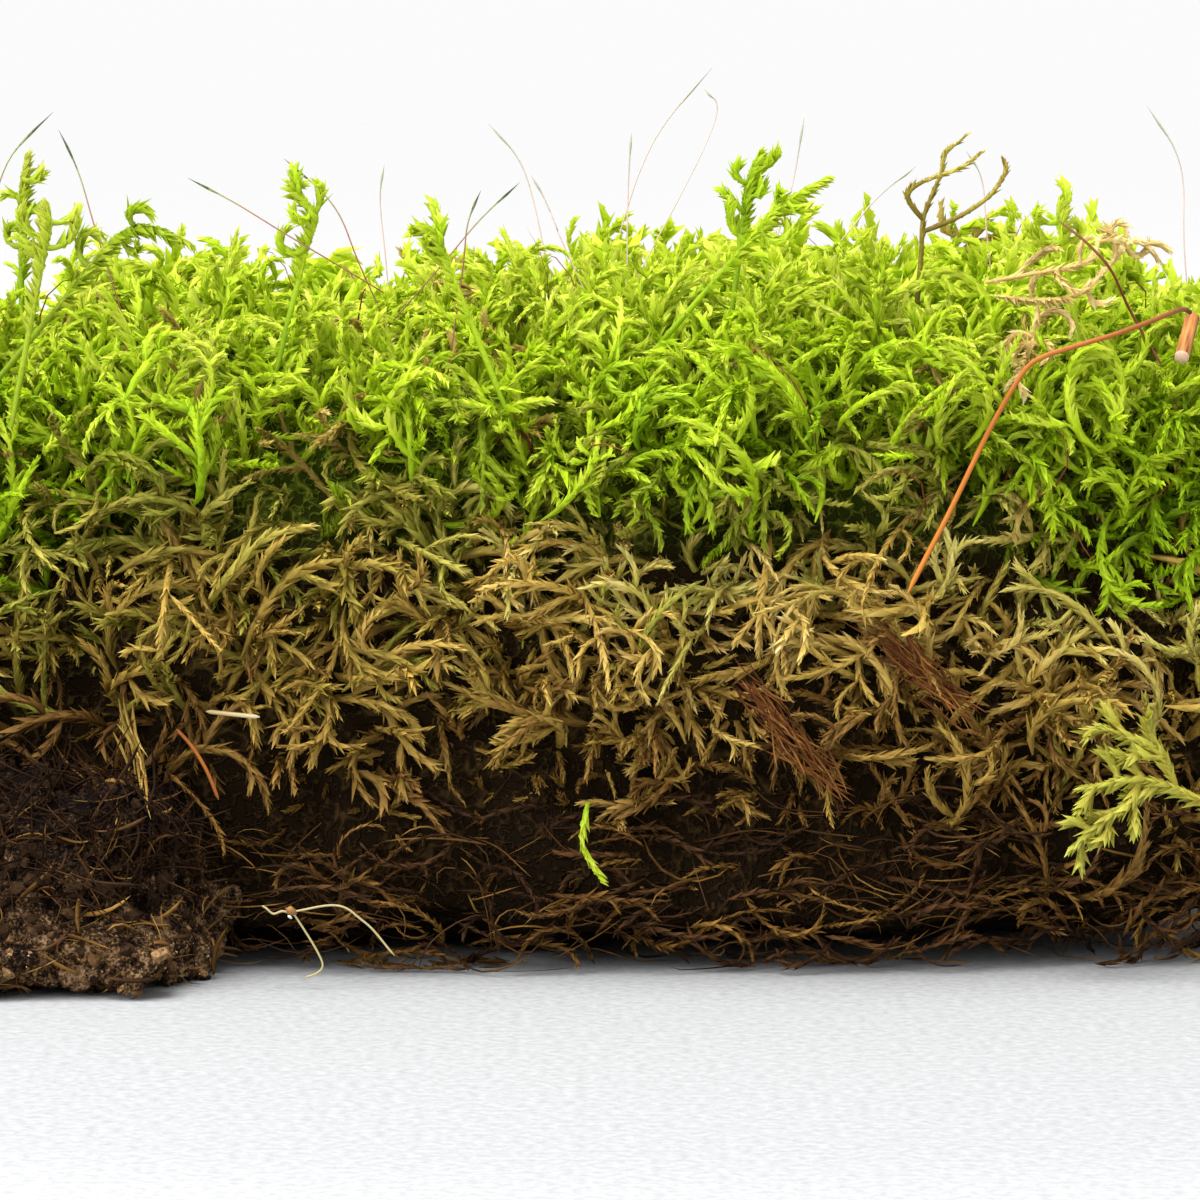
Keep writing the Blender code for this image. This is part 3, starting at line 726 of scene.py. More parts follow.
STRAW_YELLOW = (
    (0.0, 0.3, 0.17, 0.025), (0.4, 0.44, 0.37, 0.04), (0.75, 0.61, 0.63, 0.085),
    (1.0, 0.84, 0.84, 0.4),
)
RUST = ((0.0, 0.03, 0.009, 0.002), (0.45, 0.15, 0.048, 0.01), (1.0, 0.52, 0.23, 0.05))
# The core's threads by height, from the foot up: the brown, tan and green of the moss inside, darkened as
# painted shade between the shoots
CORE_PAINTED_SHADE_DARK = ((0.0, 0.009, 0.005, 0.002), (0.6, 0.018, 0.0095, 0.0035), (1.0, 0.042, 0.023, 0.008))
CORE_PAINTED_SHADE_TAN = ((0.0, 0.014, 0.008, 0.003), (0.6, 0.035, 0.021, 0.007), (1.0, 0.09, 0.06, 0.018))
CORE_PAINTED_SHADE_GREEN = ((0.0, 0.03, 0.05, 0.002), (0.5, 0.12, 0.18, 0.01), (1.0, 0.32, 0.42, 0.03))
SOIL = (
    (0.3, 0.002, 0.001, 0.0008), (0.48, 0.018, 0.009, 0.005), (0.62, 0.08, 0.043, 0.018),
    (0.85, 0.34, 0.21, 0.11),
)
GRIT = (
    (0.0, 0.006, 0.003, 0.0015), (0.4, 0.035, 0.018, 0.008), (0.7, 0.14, 0.075, 0.03),
    (0.88, 0.34, 0.2, 0.09), (0.97, 0.56, 0.38, 0.22), (1.0, 0.8, 0.66, 0.52),
)
NEAR_SPORE_STALK = (
    (0.0, 0.2, 0.06, 0.03), (0.5, 0.36, 0.16, 0.1), (0.72, 0.3, 0.32, 0.09),
    (0.84, 0.035, 0.07, 0.02), (1.0, 0.1, 0.09, 0.04),
)
FAR_SPORE_STALK = (
    (0.0, 0.6, 0.4, 0.34), (0.5, 0.72, 0.52, 0.46), (0.8, 0.38, 0.38, 0.28), (1.0, 0.44, 0.41, 0.3),
)
BARE_STEM = ((0.0, 0.12, 0.04, 0.01), (1.0, 0.22, 0.05, 0.02))
ORANGE_STALK = (
    (0.0, 0.46, 0.15, 0.015), (0.5, 0.38, 0.12, 0.02), (0.8, 0.25, 0.08, 0.018),
    (0.97, 0.08, 0.03, 0.012),
)
DARK_RED_STALK = ((0.0, 0.2, 0.12, 0.02), (0.4, 0.16, 0.04, 0.012), (1.0, 0.12, 0.025, 0.012))
NEEDLE = ((0.0, 0.26, 0.08, 0.015), (0.5, 0.4, 0.13, 0.025), (1.0, 0.3, 0.09, 0.02))
STRAW = ((0.0, 0.36, 0.25, 0.1), (0.6, 0.56, 0.45, 0.24), (1.0, 0.68, 0.58, 0.36))
BARK = ((0.35, 0.16, 0.055, 0.014), (0.5, 0.4, 0.15, 0.035), (0.68, 0.58, 0.27, 0.08))
CUT_WOOD = (0.68, 0.46, 0.33, 1)
PALE_ROOT = (
    (0.0, 0.8, 0.76, 0.66), (0.12, 0.42, 0.36, 0.16), (0.75, 0.46, 0.38, 0.18),
    (0.85, 0.3, 0.14, 0.04),
)
CLOTH = ((0.3, 0.31, 0.314, 0.319), (0.7, 0.4, 0.404, 0.409))


# The big bodies


def regions(verts):
    """The part of the clump that each item is in, by the middle of its corners."""
    x, y, z = verts.mean(axis=1).T
    left, front, high = x < 0, y < 0, z > CLOSED_FROM
    return {
        "front_left": front & left & ~high,
        "front_right": front & ~left & ~high,
        "top_left": front & left & high,
        "top_right": front & ~left & high,
        "back": ~front,
    }


def in_regions(name, batches, finish, slot, stands_for):
    """The items as one piece for each region that has any."""
    parts = [(batch, regions(batch.verts)) for batch in batches]
    for region in parts[0][1]:
        chosen = []
        for batch, found in parts:
            if found[region].any():
                verts, growth = only(found[region], batch.verts, batch.growth)
                chosen.append(replace(batch, verts=verts, growth=growth))
        if chosen:
            piece(f"{name}_{region}", chosen, finish, slot, stands_for)


def shoots(lines, face, age, tint, plump, thick, leaf, branching, draw):
    """Leafy shoots with their side branches, which are a little finer."""
    side, parent = branched(lines, face, branching, draw)
    small = replace(leaf, length=leaf.length * 0.9, width=leaf.width * 0.9, bare=0.05)
    plump_side = plump[parent] * draw.uniform(0.75, 1.05, len(parent))
    batches = foliage(lines, age, tint, plump, thick, leaf, draw)
    return batches + foliage(side, age[parent], tint[parent], plump_side, 0.8 * thick, small, draw)


def living_moss():
    """Crowded feathery shoots, bright at their tips, that end at the surface of the green solid."""
    draw = np.random.default_rng(11)
    places, normals = spaced_over("green_moss", 36000, front=2.15 * MM, back=2.65 * MM, draw=draw)
    count = len(places)
    out = way_out(places)
    height = places[:, 2]
    rise = ramped(height, 42, 12, -0.5, 0.6)[:, None]
    heading = unit(0.6 * out + 0.3 * normals + rise * UP + draw.normal(0, 0.45, (count, 3)))
    length = draw.uniform(9, 15, count) * MM
    toward = draw.normal(0, 0.7, (count, 3)) - 0.6 * UP
    # The face is loose and uneven, and the top and the back are closed.
    closed = (places[:, 1] > 0) | (height > CLOSED_FROM)
    closed_depth = np.where(places[:, 0] > HIGH_FROM, HIGH_DEPTH, CLOSED_DEPTH)
    depth = np.where(closed, closed_depth, 4 * MM * draw.random(count) ** 1.5)
    degrees = draw.uniform(45, 190, count)
    lines = grown(places, out, depth, 0.3 * MM, (heading, toward, degrees, length, 0.03), draw)
    kept = ~covers_lying(lines, 1.7 * MM) & (outside(lines[:, 0]) < -0.5 * MM)
    lines, places, out, height = only(kept, lines, places, out, height)
    count = len(places)
    face = unit(out + draw.normal(0, 0.5, (count, 3)))
    near_dead = distance_to("brown_moss", places) / (12 * MM)
    # Where they hang lowest, at both ends, the shoots are still green.
    hanging = ramped(np.abs(places[:, 0]), 36, 8)
    age = np.clip(0.55 - 0.55 * near_dead - 0.25 * hanging + draw.normal(0, 0.13, count), 0, 0.7)
    withered = draw.random(count) < WITHERED
    from_patch = np.linalg.norm((places[:, (0, 2)] - WITHERED_PATCH) / WITHERED_PATCH_REACH, axis=1)
    withered |= (from_patch < draw.uniform(0.6, 1.2, count)) & (places[:, 1] < 0)
    age[withered] = WITHERED_AGE
    # Shoots are painted lighter the higher they stand: painted light on the top of the canopy, over a
    # tint that varies at random.
    tint = np.clip(0.1 + 0.75 * draw.random(count) + (height - 45 * MM) / (25 * MM), 0, 1)
    tint[withered] = draw.uniform(0.5, 0.9, withered.sum())
    plump = draw.uniform(0.9, 1.4, count)
    leaf = Leaf(1.6 * MM, 0.52 * MM, 0.17 * MM, spread=15, curl=12, hook=0.65, bare=0.15)
    branching = Branching(3, 6.5 * MM, first=0.25, last=0.85, angle=45, turn=120, droop=0.5)
    batches = shoots(lines, face, age, tint, plump, 0.8 * MM, leaf, branching, draw)
    finish = leafy_finish("living moss", FRESH_GREEN_AND_PAINTED_LIGHT, 0.4, TURNING_OLIVE, 0.8, WITHERED_STRAW,
                          clear=0.38, shine=0.16, lift=0.015)
    in_regions("living_moss", batches, finish, "living_moss", "green_moss")
    bare_stems(lines, out, draw)


def bare_stems(lines, out, draw):
    """Leafless red stems that stand out of the green shoots, beside some of their lines."""
    beside = draw.choice(len(lines), BARE_STEMS, replace=False)
    lines, out = only(beside, lines, out)
    lines = lines + draw.normal(0, 1, (BARE_STEMS, 1, 3)) * MM
    lines += out[:, None] * np.linspace(0.5, 2.5, LINE_POINTS)[None, :, None] * MM
    radius = tapering(draw.uniform(0.14, 0.26, BARE_STEMS) * MM)
    red = plain_finish("bare stem", BARE_STEM, 0.5, 0.2)
    batch = stems(lines, same(0, BARE_STEMS), draw.random(BARE_STEMS), radius)
    piece("bare_stems", [batch], red, "stalk", "green_moss")


def dead_moss():
    """Old shoots with close-set leaves that hang and curl out of the side, over dark hollows where the
    core, painted as shade, shows.
    """
    draw = np.random.default_rng(23)
    places, normals = spaced_over("brown_moss", 28000, front=1.66 * MM, back=2.35 * MM, draw=draw)
    # The dark corner over the clod has fewer shoots, and the hollows above the humus fewer still.
    corner = (places < DARK_CORNER).all(axis=1)
    lumps = np.array([noise.noise(Vector(place) / HOLLOW_SIZE) for place in places.tolist()])
    hollow = (lumps > HOLLOW_OVER) & (places[:, 2] > HOLLOW_FROM)
    kept = draw.random(len(places)) < np.where(hollow, 0.25, np.where(corner, 0.45, 1))
    places, normals, corner = only(kept, places, normals, corner)
    count = len(places)
    out = way_out(places)
    near_green = ramped(distance_to("green_moss", places), 0, 9)
    near_humus = np.clip(1 - distance_to("humus_mat", places) / (16 * MM), 0, 1)
    loose = draw.normal(0, 1, (count, 3)) * (0.75, 0.4, 0.5)
    climb = 0.8 * (1 - near_green)[:, None] * UP
    heading = unit(0.6 * out + 0.3 * normals + climb + loose)
    length = draw.uniform(9, 16, count) * MM
    toward = draw.normal(0, 0.8, (count, 3)) - 0.6 * UP
    degrees = draw.uniform(30, 190, count)
    depth = 5 * MM * draw.random(count) ** 1.3
    lines = grown(places, out, depth, 0.6 * MM, (heading, toward, degrees, length, 0.05), draw)
    kept = ~covers_lying(lines, 1.3 * MM) & (outside(lines[:, 0]) < 0)
    lines, places, out, corner = only(kept, lines, places, out, corner)
    near_green, near_humus = only(kept, near_green, near_humus)
    count = len(places)
    face = unit(out + draw.normal(0, 0.5, (count, 3)))
    age = 0.05 + 0.3 * near_green + 0.45 * near_humus + 0.5 * corner + draw.normal(0, 0.12, count)
    age = np.clip(age, 0, 1)
    # The right of the clump is the brighter and the drier.
    brighter = ramped(places[:, 0], -15, 45, -0.25, 0.6) * (1 - near_humus)
    age = np.clip(age + 0.15 * brighter, 0, 1)
    tint = np.clip(0.8 * draw.random(count) + brighter, 0, 1)
    plump = draw.uniform(0.85, 1.5, count)
    leaf = Leaf(1.8 * MM, 0.5 * MM, 0.17 * MM, spread=13, curl=6, hook=0.2, bare=0.1)
    branching = Branching(2, 6 * MM, first=0.3, last=0.85, angle=42, turn=90, droop=0.5)
    batches = shoots(lines, face, age, tint, plump, 0.85 * MM, leaf, branching, draw)
    finish = leafy_finish("dead moss", TURNING_OLIVE, 0.22, DEAD_TAN, 0.62, DEAD_BROWN,
                          clear=0.15, roughness=0.65, shine=0.2, lift=0.06)
    in_regions("dead_moss", batches, finish, "dead_moss", "brown_moss")


def humus_fibres():
    """Dark old stems and rhizoids, most of them lying level."""
    draw = np.random.default_rng(37)
    places, _ = spaced_over("humus_mat", 20000, front=0.93 * MM, back=2.0 * MM, draw=draw)
    count = len(places)
    out = way_out(places)
    level = unit(np.cross(out, UP)) * draw.choice((-1, 1), (count, 1))
    heading = unit(level + 0.35 * out + draw.normal(0, 0.35, (count, 3)))
    length = draw.uniform(4, 11, count) * MM
    toward = draw.normal(0, 0.8, (count, 3)) - 0.2 * UP
    degrees = draw.uniform(10, 190, count)
    depth = 4 * MM * draw.random(count) ** 1.3
    lines = grown(places, out, depth, 0.4 * MM, (heading, toward, degrees, length, 0.09), draw)
    lines[..., 2] = np.maximum(lines[..., 2], 0.4 * MM)
    age, tint, plump = draw.random(count), draw.random(count), draw.uniform(0.6, 1.2, count)
    leafy = draw.random(count) < 0.45
    leaf = Leaf(1.5 * MM, 0.45 * MM, 0.3 * MM, spread=13, curl=8, hook=0.1)
    batches = foliage(*only(leafy, lines, age, tint, plump), 0.4 * MM, leaf, draw)
    radius = tapering(draw.uniform(0.1, 0.4, (~leafy).sum()) * MM)
    batches.append(stems(*only(~leafy, lines, age, tint), radius))
    for batch in batches:
        batch.verts[..., 2] = np.maximum(batch.verts[..., 2], 0.05 * MM)
    finish = leafy_finish("humus fibres", DEAD_BROWN, 0.45, HUMUS_DARK,
                          clear=0.05, roughness=0.8, shine=0.12, lift=-0.035)
    in_regions("humus_fibres", batches, finish, "humus", "humus_mat")


def core():
    """What shows between the shoots: the inside of the clump, a lumpy block with round corners, whose
    colours are painted dark as the shade between the shoots.
    """
    # Without a seed, noise vectors differ from run to run.
    noise.seed_set(5)
    bm = bmesh.new()
    bmesh.ops.create_cube(bm, size=2)
    bmesh.ops.subdivide_edges(bm, edges=bm.edges, cuts=31, use_grid_fill=True)
    for vert in bm.verts:
        u, v, w = vert.co
        narrowing = max(w, 0) ** 2 / 6
        x = CORE_REACH[0] * u * math.sqrt(1 - v * v / 4 - narrowing)
        y = CORE_REACH[1] * v * math.sqrt(1 - u * u / 4 - narrowing)
        z = CORE_FOOT + (CORE_TOP - CORE_FOOT) * (1 + w * (1 - max(u * u, v * v) ** 2 / 6)) / 2
        lump = noise.noise_vector(Vector((x, y, z)) / (6 * MM)) * 2.2 * MM
        vert.co = Vector((x, y, z)) + lump
        vert.co.z = max(vert.co.z, CORE_FOOT)
    mesh = bpy.data.meshes.new("moss_core")
    bm.to_mesh(mesh)
    bm.free()
    shade(mesh, True)
    finish = Finish("moss core painted shade")
    height = finish.height()
    threads = finish.tangle(2.5 * MM, 1.3 * MM, 4 * MM)
    # Painted shade: the core takes its colours from dark ramps, by height, that stand for the shade in
    # the gaps between the shoots.
    dark, tan, green = (finish.ramp(threads, *stops) for stops in (CORE_PAINTED_SHADE_DARK, CORE_PAINTED_SHADE_TAN, CORE_PAINTED_SHADE_GREEN))
    share = finish.sums((height, 1 / (60 * MM)))
    lower = finish.mix(finish.step(share, 0.25, 0.4), dark, tan)
    colour = finish.mix(finish.step(share, 0.56, 0.74), lower, green)
    finish.surface(colour, 0.95, 0.05, threads, 0.5 * MM)
    shown("moss_core", mesh, finish.material, "humus", "green_moss", "brown_moss", "humus_mat")


def clod_roughness(place):
    """How far the clod's skin moves out at a place."""
    lumps = 1.7 * MM * noise.fractal(place / (6 * MM), 0.8, 2.1, 4)
    crumbs = 0.8 * MM * abs(noise.noise(place / (1.6 * MM))) + 0.5 * MM * noise.noise(place / (0.8 * MM))
    return lumps + crumbs - 1.1 * MM


def ball_form():
    ball = bmesh.new()
    bmesh.ops.create_icosphere(ball, subdivisions=1, radius=1)
    corners = np.array([vert.co for vert in ball.verts])
    faces = np.array([[vert.index for vert in face.verts] for face in ball.faces])
    ball.free()
    return corners, faces


def splinter_form():
    """An octahedron."""
    corners = np.vstack((np.eye(3), -np.eye(3)))
    faces = [(0, 1, 2), (1, 3, 2), (3, 4, 2), (4, 0, 2), (1, 0, 5), (3, 1, 5), (4, 3, 5), (0, 4, 5)]
    return corners, np.array(faces)


def crumbs_on(places, size, age, tint, form, draw):
    """Small uneven lumps at the places."""
    corners, faces = form
    count = len(places)
    stretch = draw.uniform(0.45, 1.25, (count, 1, 3))
    shape = corners * stretch * draw.uniform(0.6, 1.3, (count, len(corners), 1))
    turned = np.linalg.qr(draw.normal(size=(count, 3, 3)))[0]
    turned *= np.sign(np.linalg.det(turned))[:, None, None]
    verts = np.einsum("ncj,nij->nci", shape, turned) * size[:, None, None] / 2 + places[:, None]
    verts[..., 2] = np.maximum(verts[..., 2], 0)
    column, row = np.arange(len(faces)) % 5, np.arange(len(faces)) // 5
    cell = np.array([[0.1, 0.1], [0.9, 0.1], [0.5, 0.9]])
    chart = (cell[None] + np.stack((column, row), axis=1)[:, None]) / (5, row.max() + 1)
    return Batch(verts, growth_of(age, tint, np.full((1, len(corners)), 0.5)), faces, chart)


def threads_on(places, lengths, thick, lift, draw):
    """Loose crooked threads through the places. Their lengths and thickness are ranges in mm."""
    count = len(places)
    length, thick = draw.uniform(*lengths, count) * MM, draw.uniform(*thick, count) * MM
    heading = draw.normal(size=(count, 3)) * (1, 0.6, 0.8)
    degrees = draw.uniform(10, 130, count)
    lines = arcs(unit(heading), draw.normal(size=(count, 3)), degrees, length, 0.1, draw)
    lines += (places + lift - lines[:, LINE_POINTS // 2])[:, None]
    lines[..., 2] = np.maximum(lines[..., 2], 0.2 * MM)
    return stems(lines, draw.random(count), draw.random(count), tapering(thick))


def clod():
    """Sandy soil: a rough crumbling skin with crumbs, grit and bits of root, and a dark tangle above."""
    draw = np.random.default_rng(41)
    mesh = clod_surface()
    tree = BVHTree.FromPolygons([v.co for v in mesh.vertices], [tuple(p.vertices) for p in mesh.polygons])
    places, _ = scatter("soil_clod", GRAINS, draw)
    hits = [tree.find_nearest(place) for place in places.tolist()]
    places, outward = np.array([hit[0] for hit in hits]), np.array([hit[1] for hit in hits])
    soil_grains(places, draw)
    clod_roots(places, outward, draw)


def clod_surface():
    """The clod's skin: its solid as one even mesh, roughened."""
    whole = placed("clod_copy", NODES["soil_clod"].data.copy())
    step = whole.modifiers.new("remesh", "REMESH")
    step.mode = "VOXEL"
    step.voxel_size = 0.6 * MM
    step.use_smooth_shade = True
    bpy.context.view_layer.update()
    graph = bpy.context.evaluated_depsgraph_get()
    mesh = bpy.data.meshes.new_from_object(whole.evaluated_get(graph))
    mesh.name = "clod_surface"
    mesh.materials.clear()
    bpy.data.objects.remove(whole)
    moved = [vert.co + vert.normal * clod_roughness(vert.co) for vert in mesh.vertices]
    for vert, place in zip(mesh.vertices, moved):
        vert.co = (place.x, place.y, max(place.z, 0))
    finish = Finish("soil")
    coarse, fine = finish.noise(1.6 * MM, 6), finish.noise(0.25 * MM, 3)
    # The clod is sandier, and so lighter, towards its foot.
    height = finish.height()
    tone = finish.sums((coarse, 1.2), (fine, 1.0), (height, -0.2 / (10 * MM)), start=-0.44)
    colour = finish.ramp(tone, *SOIL)
    finish.surface(colour, 0.95, 0.08, finish.sums((coarse, 0.7), (fine, 0.6)), 0.7 * MM)
    shown("clod_surface", mesh, finish.material, "soil", "soil_clod")
    return mesh


def soil_grains(places, draw):
    """Crumbs and, many more, grains of grit, which are lighter towards the foot."""
    count = len(places)
    large = np.arange(count) % CRUMB_EVERY == 0
    size = np.where(large, 0.5 + 1.2 * draw.random(count) ** 2, draw.uniform(0.12, 0.5, count)) * MM
    sandy = np.clip(1.25 - places[:, 2] / (11 * MM), 0.3, 1)
    age, tint = draw.random(count), draw.random(count) * sandy
    lumps = crumbs_on(places[large], size[large], age[large], tint[large] * 0.85, ball_form(), draw)
    grit = crumbs_on(places[~large], size[~large], age[~large], tint[~large], splinter_form(), draw)
    finish = Finish("grit")
    _, tint, _ = finish.growth()
    fine = finish.noise(0.3 * MM, 3)
    colour = finish.ramp(finish.sums((tint, 0.9), (fine, 0.5), start=-0.13), *GRIT)
    finish.surface(colour, 0.95, 0.08, fine, 0.2 * MM)
    grains = piece("soil_grains", [lumps, grit], finish.material, "soil", "soil_clod")
    shade(grains.data, False)


def clod_roots(places, outward, draw):
    """Bits of root and finer shreds all over the clod, and a tangle of dark rhizoids high up on it."""
    roots = draw.choice(len(places), ROOTS, replace=False)
    shreds = draw.choice(len(places), SHREDS, replace=False)
    high = np.flatnonzero(places[:, 2] > TANGLE_FROM)
    tangle = high[draw.choice(len(high), RHIZOIDS, replace=False)]
    finish = leafy_finish("root bits", DEAD_BROWN, 0.55, HUMUS_DARK, clear=0.0, roughness=0.8, shine=0.12)
    bits = [
        threads_on(places[roots], (2, 6), (0.3, 0.75), outward[roots] * 0.4 * MM, draw),
        threads_on(places[shreds], (1.5, 6), (0.1, 0.3), outward[shreds] * 0.3 * MM, draw),
    ]
    piece("clod_roots", bits, finish, "soil", "soil_clod")
    finish = leafy_finish("dark rhizoids", HUMUS_DARK, clear=0.0, roughness=0.85, shine=0.08, lift=-0.3)
    lift = outward[tangle] * draw.uniform(0.3, 2, (RHIZOIDS, 1)) * MM
    bits = threads_on(places[tangle], (4, 10), (0.1, 0.4), lift, draw)
    piece("clod_rhizoids", [bits], finish, "soil", "soil_clod")


# The small pieces


def same(value, count=1):
    return np.full(count, float(value))


def spore_stalks():
    """A thin red stalk, green at its neck, with a slender dark capsule that ends in a beak."""
    near = plain_finish("near spore stalk", NEAR_SPORE_STALK, 0.4)
    far = plain_finish("far spore stalk", FAR_SPORE_STALK, 0.4)
    points = 26
    t = np.linspace(0, 1, points)
    radius = 0.065 * MM + 0.06 * MM * np.exp(-(((t - 0.87) / 0.05) ** 2))
    radius[-2:] = 0.045 * MM, 0.01 * MM
    for number in range(1, 17):
        node = f"sporophyte_{number:02d}"
        line = rooted(spine(node, 8), points)[None]
        line[..., 0] += np.sin(7 * t + number) * t * 0.15 * MM
        batch = stems(line, same(0), same(number * TINT_STEP % 1), radius[None], sides=5)
        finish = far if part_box(node)[0][1] > FAR_FROM else near
        piece(f"spore_stalk_{number:02d}", [batch], finish, "spore_stalk", node)


def leafy_piece(name, node, lines, leaf, finish, slot, draw, thick, age, tint, plump=1.0):
    """Leafy stems, all of one thickness in metres, age, tint and fullness."""
    lines = np.array(lines)
    count = len(lines)
    radius = tapering(same(thick, count), lines.shape[1], start=0.7)
    age, tint = same(age, count), same(tint, count)
    stem = stems(lines, age, tint, radius, sides=5)
    leafy = leaves(lines, age, tint, same(plump, count), leaf, draw)
    piece(name, [stem, leafy], finish, slot, node)


def with_branches(lines, branching, draw):
    """The lines and their side branches, which spread in the plane of the front face."""
    points = lines.shape[1]
    side, _ = branched(lines, np.tile([0, -1.0, 0.2], (len(lines), 1)), branching, draw)
    return [smooth(line, points) for line in (*lines, *side)]


def leafy_shoots():
    """The single green shoots that stand clear of the rest, with broad loose leaves."""
    draw = np.random.default_rng(53)
    finish = leafy_finish("leafy shoot", FRESH_GREEN_AND_PAINTED_LIGHT, 0.4, TURNING_OLIVE, clear=0.4)
    leaf = Leaf(2.1 * MM, 0.62 * MM, 0.13 * MM, spread=18, curl=18, hook=0.8, bare=0.2)
    branching = Branching(4, 3.8 * MM, first=0.35, last=0.85, angle=50, turn=150, droop=0.2)
    for number in range(1, 9):
        node = f"green_shoot_{number:02d}"
        lines = with_branches(rooted(spine(node, 8), 14)[None], branching, draw)
        # The shoot at the far left is yellowish.
        age = 0.33 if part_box(node)[0][0] < -45 * MM else 0
        tint = 0.45 + 0.5 * (number * TINT_STEP % 1)
        leafy_piece(f"leafy_shoot_{number:02d}", node, lines, leaf, finish, "living_moss", draw,
                    thick=0.6 * MM, age=age, tint=tint, plump=0.9)


def routed(routes, points):
    """Smooth lines in metres through routes in mm."""
    return np.array([smooth(np.array(route) * MM, points) for route in routes])


def at_depth(lines, node):
    """The lines at the depth where that solid lies."""
    low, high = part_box(node)
    lines[..., 1] = (low[1] + high[1]) / 2
    return lines


def sprigs_and_strands():
    """The leafy loose pieces: dry, pale and fresh."""
    draw = np.random.default_rng(59)
    dry = leafy_finish("dry strand", PALE_TAN, 0.5, DEAD_BROWN, clear=0.3, roughness=0.65, lift=0.14)
    olive = leafy_finish("olive sprig", DEAD_TAN, 0.5, TURNING_OLIVE,
                         clear=0.2, roughness=0.65, lift=0.02)
    pale = leafy_finish("yellow sprig", STRAW_YELLOW, 0.6, DEAD_TAN, clear=0.3)
    fresh = leafy_finish("bright leaf", FRESH_GREEN_AND_PAINTED_LIGHT, 0.4, TURNING_OLIVE, clear=0.3)

    leaf = Leaf(1.3 * MM, 0.4 * MM, 0.14 * MM, spread=8, hook=0.2)
    leafy_piece("curled_sprig", "curly_sprig", routed(CURLY_SPRIG, 22), leaf, olive, "dry_moss", draw,
                thick=0.55 * MM, age=0.5, tint=0.5)

    leaf = Leaf(1.5 * MM, 0.4 * MM, 0.13 * MM, spread=14, hook=0.5)
    branching = Branching(5, 4.5 * MM, first=0.05, last=0.95, angle=50, turn=190, droop=0.5)
    for number in (1, 2, 3):
        node = f"dry_strand_{number}"
        lines = with_branches(spine(node, 18)[None], branching, draw)
        leafy_piece(f"tan_strand_{number}", node, lines, leaf, dry, "dry_moss", draw,
                    thick=0.4 * MM, age=0.1, tint=0.75)

    leaf = Leaf(1.7 * MM, 0.55 * MM, 0.09 * MM, spread=17, hook=0.35)
    branching = Branching(5, 3.6 * MM, first=0.3, last=1, angle=45, turn=100, droop=0)
    lines = with_branches(at_depth(routed(SIDE_SPRIG, 14), "side_sprig"), branching, draw)
    leafy_piece("yellow_sprig", "side_sprig", lines, leaf, pale, "pale_moss", draw,
                thick=0.75 * MM, age=0.25, tint=0.6, plump=1.2)

    leaf = Leaf(1.9 * MM, 0.55 * MM, 0.22 * MM, spread=7)
    lines = [spine("hanging_leaf", 12)]
    leafy_piece("bright_leaf", "hanging_leaf", lines, leaf, fresh, "living_moss", draw,
                thick=0.5 * MM, age=0, tint=0.7)


def rounded_ends(radius, points):
    """An even radius that closes quickly at both ends."""
    t = np.linspace(0, 1, points)
    close = np.minimum(t, 1 - t) * 2
    return radius * np.sqrt(1 - np.maximum(1 - close * points / 3, 0) ** 2 * 0.96)


def bare_piece(name, node, radius, finish, slot, sides=8, cut=False, forward=0.0):
    """A round piece along its solid, or in front of it by forward, over the leaves around it."""
    line = spine(node, len(radius)) - np.array([0, forward, 0])
    if cut:
        # Its ends are flat, as they close at once.
        line[0] = line[1] - (line[1] - line[0]) * 0.02
        line[-1] = line[-2] + (line[-1] - line[-2]) * 0.02
        radius[[0, -1]] = 0.01 * MM
    batch = stems(line[None], same(0), same(0.5), radius[None], sides=sides)
    piece(name, [batch], finish, slot, node)


def twig_bark():
    """Orange-brown bark with darker stripes along it, and pale wood where it is cut."""
    finish = Finish("twig bark")
    place = finish.growth()[2]
    around = finish.node("ShaderNodeTexCoord").outputs["UV"]
    mapping = {"Vector": around, "Scale": (12, 1.5, 1)}
    stretched = finish.node("ShaderNodeMapping", mapping).outputs["Vector"]
    inputs = {"Vector": stretched, "Scale": 1.0, "Detail": 4}
    stripes = finish.node("ShaderNodeTexNoise", inputs).outputs["Fac"]
    bark = finish.ramp(stripes, *BARK)
    colour = finish.mix(finish.step(place, 0.08, 0.1), CUT_WOOD, bark)
    return finish.surface(colour, 0.6, 0.2, stripes, 0.1 * MM).material


def bare_pieces():
    """Stalks, straw, needle and the cut end of a twig."""
    orange = plain_finish("orange stalk", ORANGE_STALK, 0.5, 0.2)
    red = plain_finish("dark red stalk", DARK_RED_STALK, 0.5, 0.2)
    straw = plain_finish("straw", STRAW, 0.5)
    needle = plain_finish("needle", NEEDLE, 0.5, 0.2)
    bare_piece("bent_stalk", "red_stalk", rounded_ends(0.22 * MM, 60), orange, "stalk", forward=0.9 * MM)
    bare_piece("dark_stalk", "thin_stalk", rounded_ends(0.12 * MM, 24), red, "stalk",
               sides=6, forward=0.6 * MM)
    bare_piece("pale_straw", "straw_bit", rounded_ends(0.19 * MM, 14), straw, "straw")
    bare_piece("orange_needle", "needle_bit", rounded_ends(0.16 * MM, 20), needle, "twig")
    bare_piece("cut_twig", "twig_stub", same(0.62 * MM, 20), twig_bark(), "twig", sides=16, cut=True)


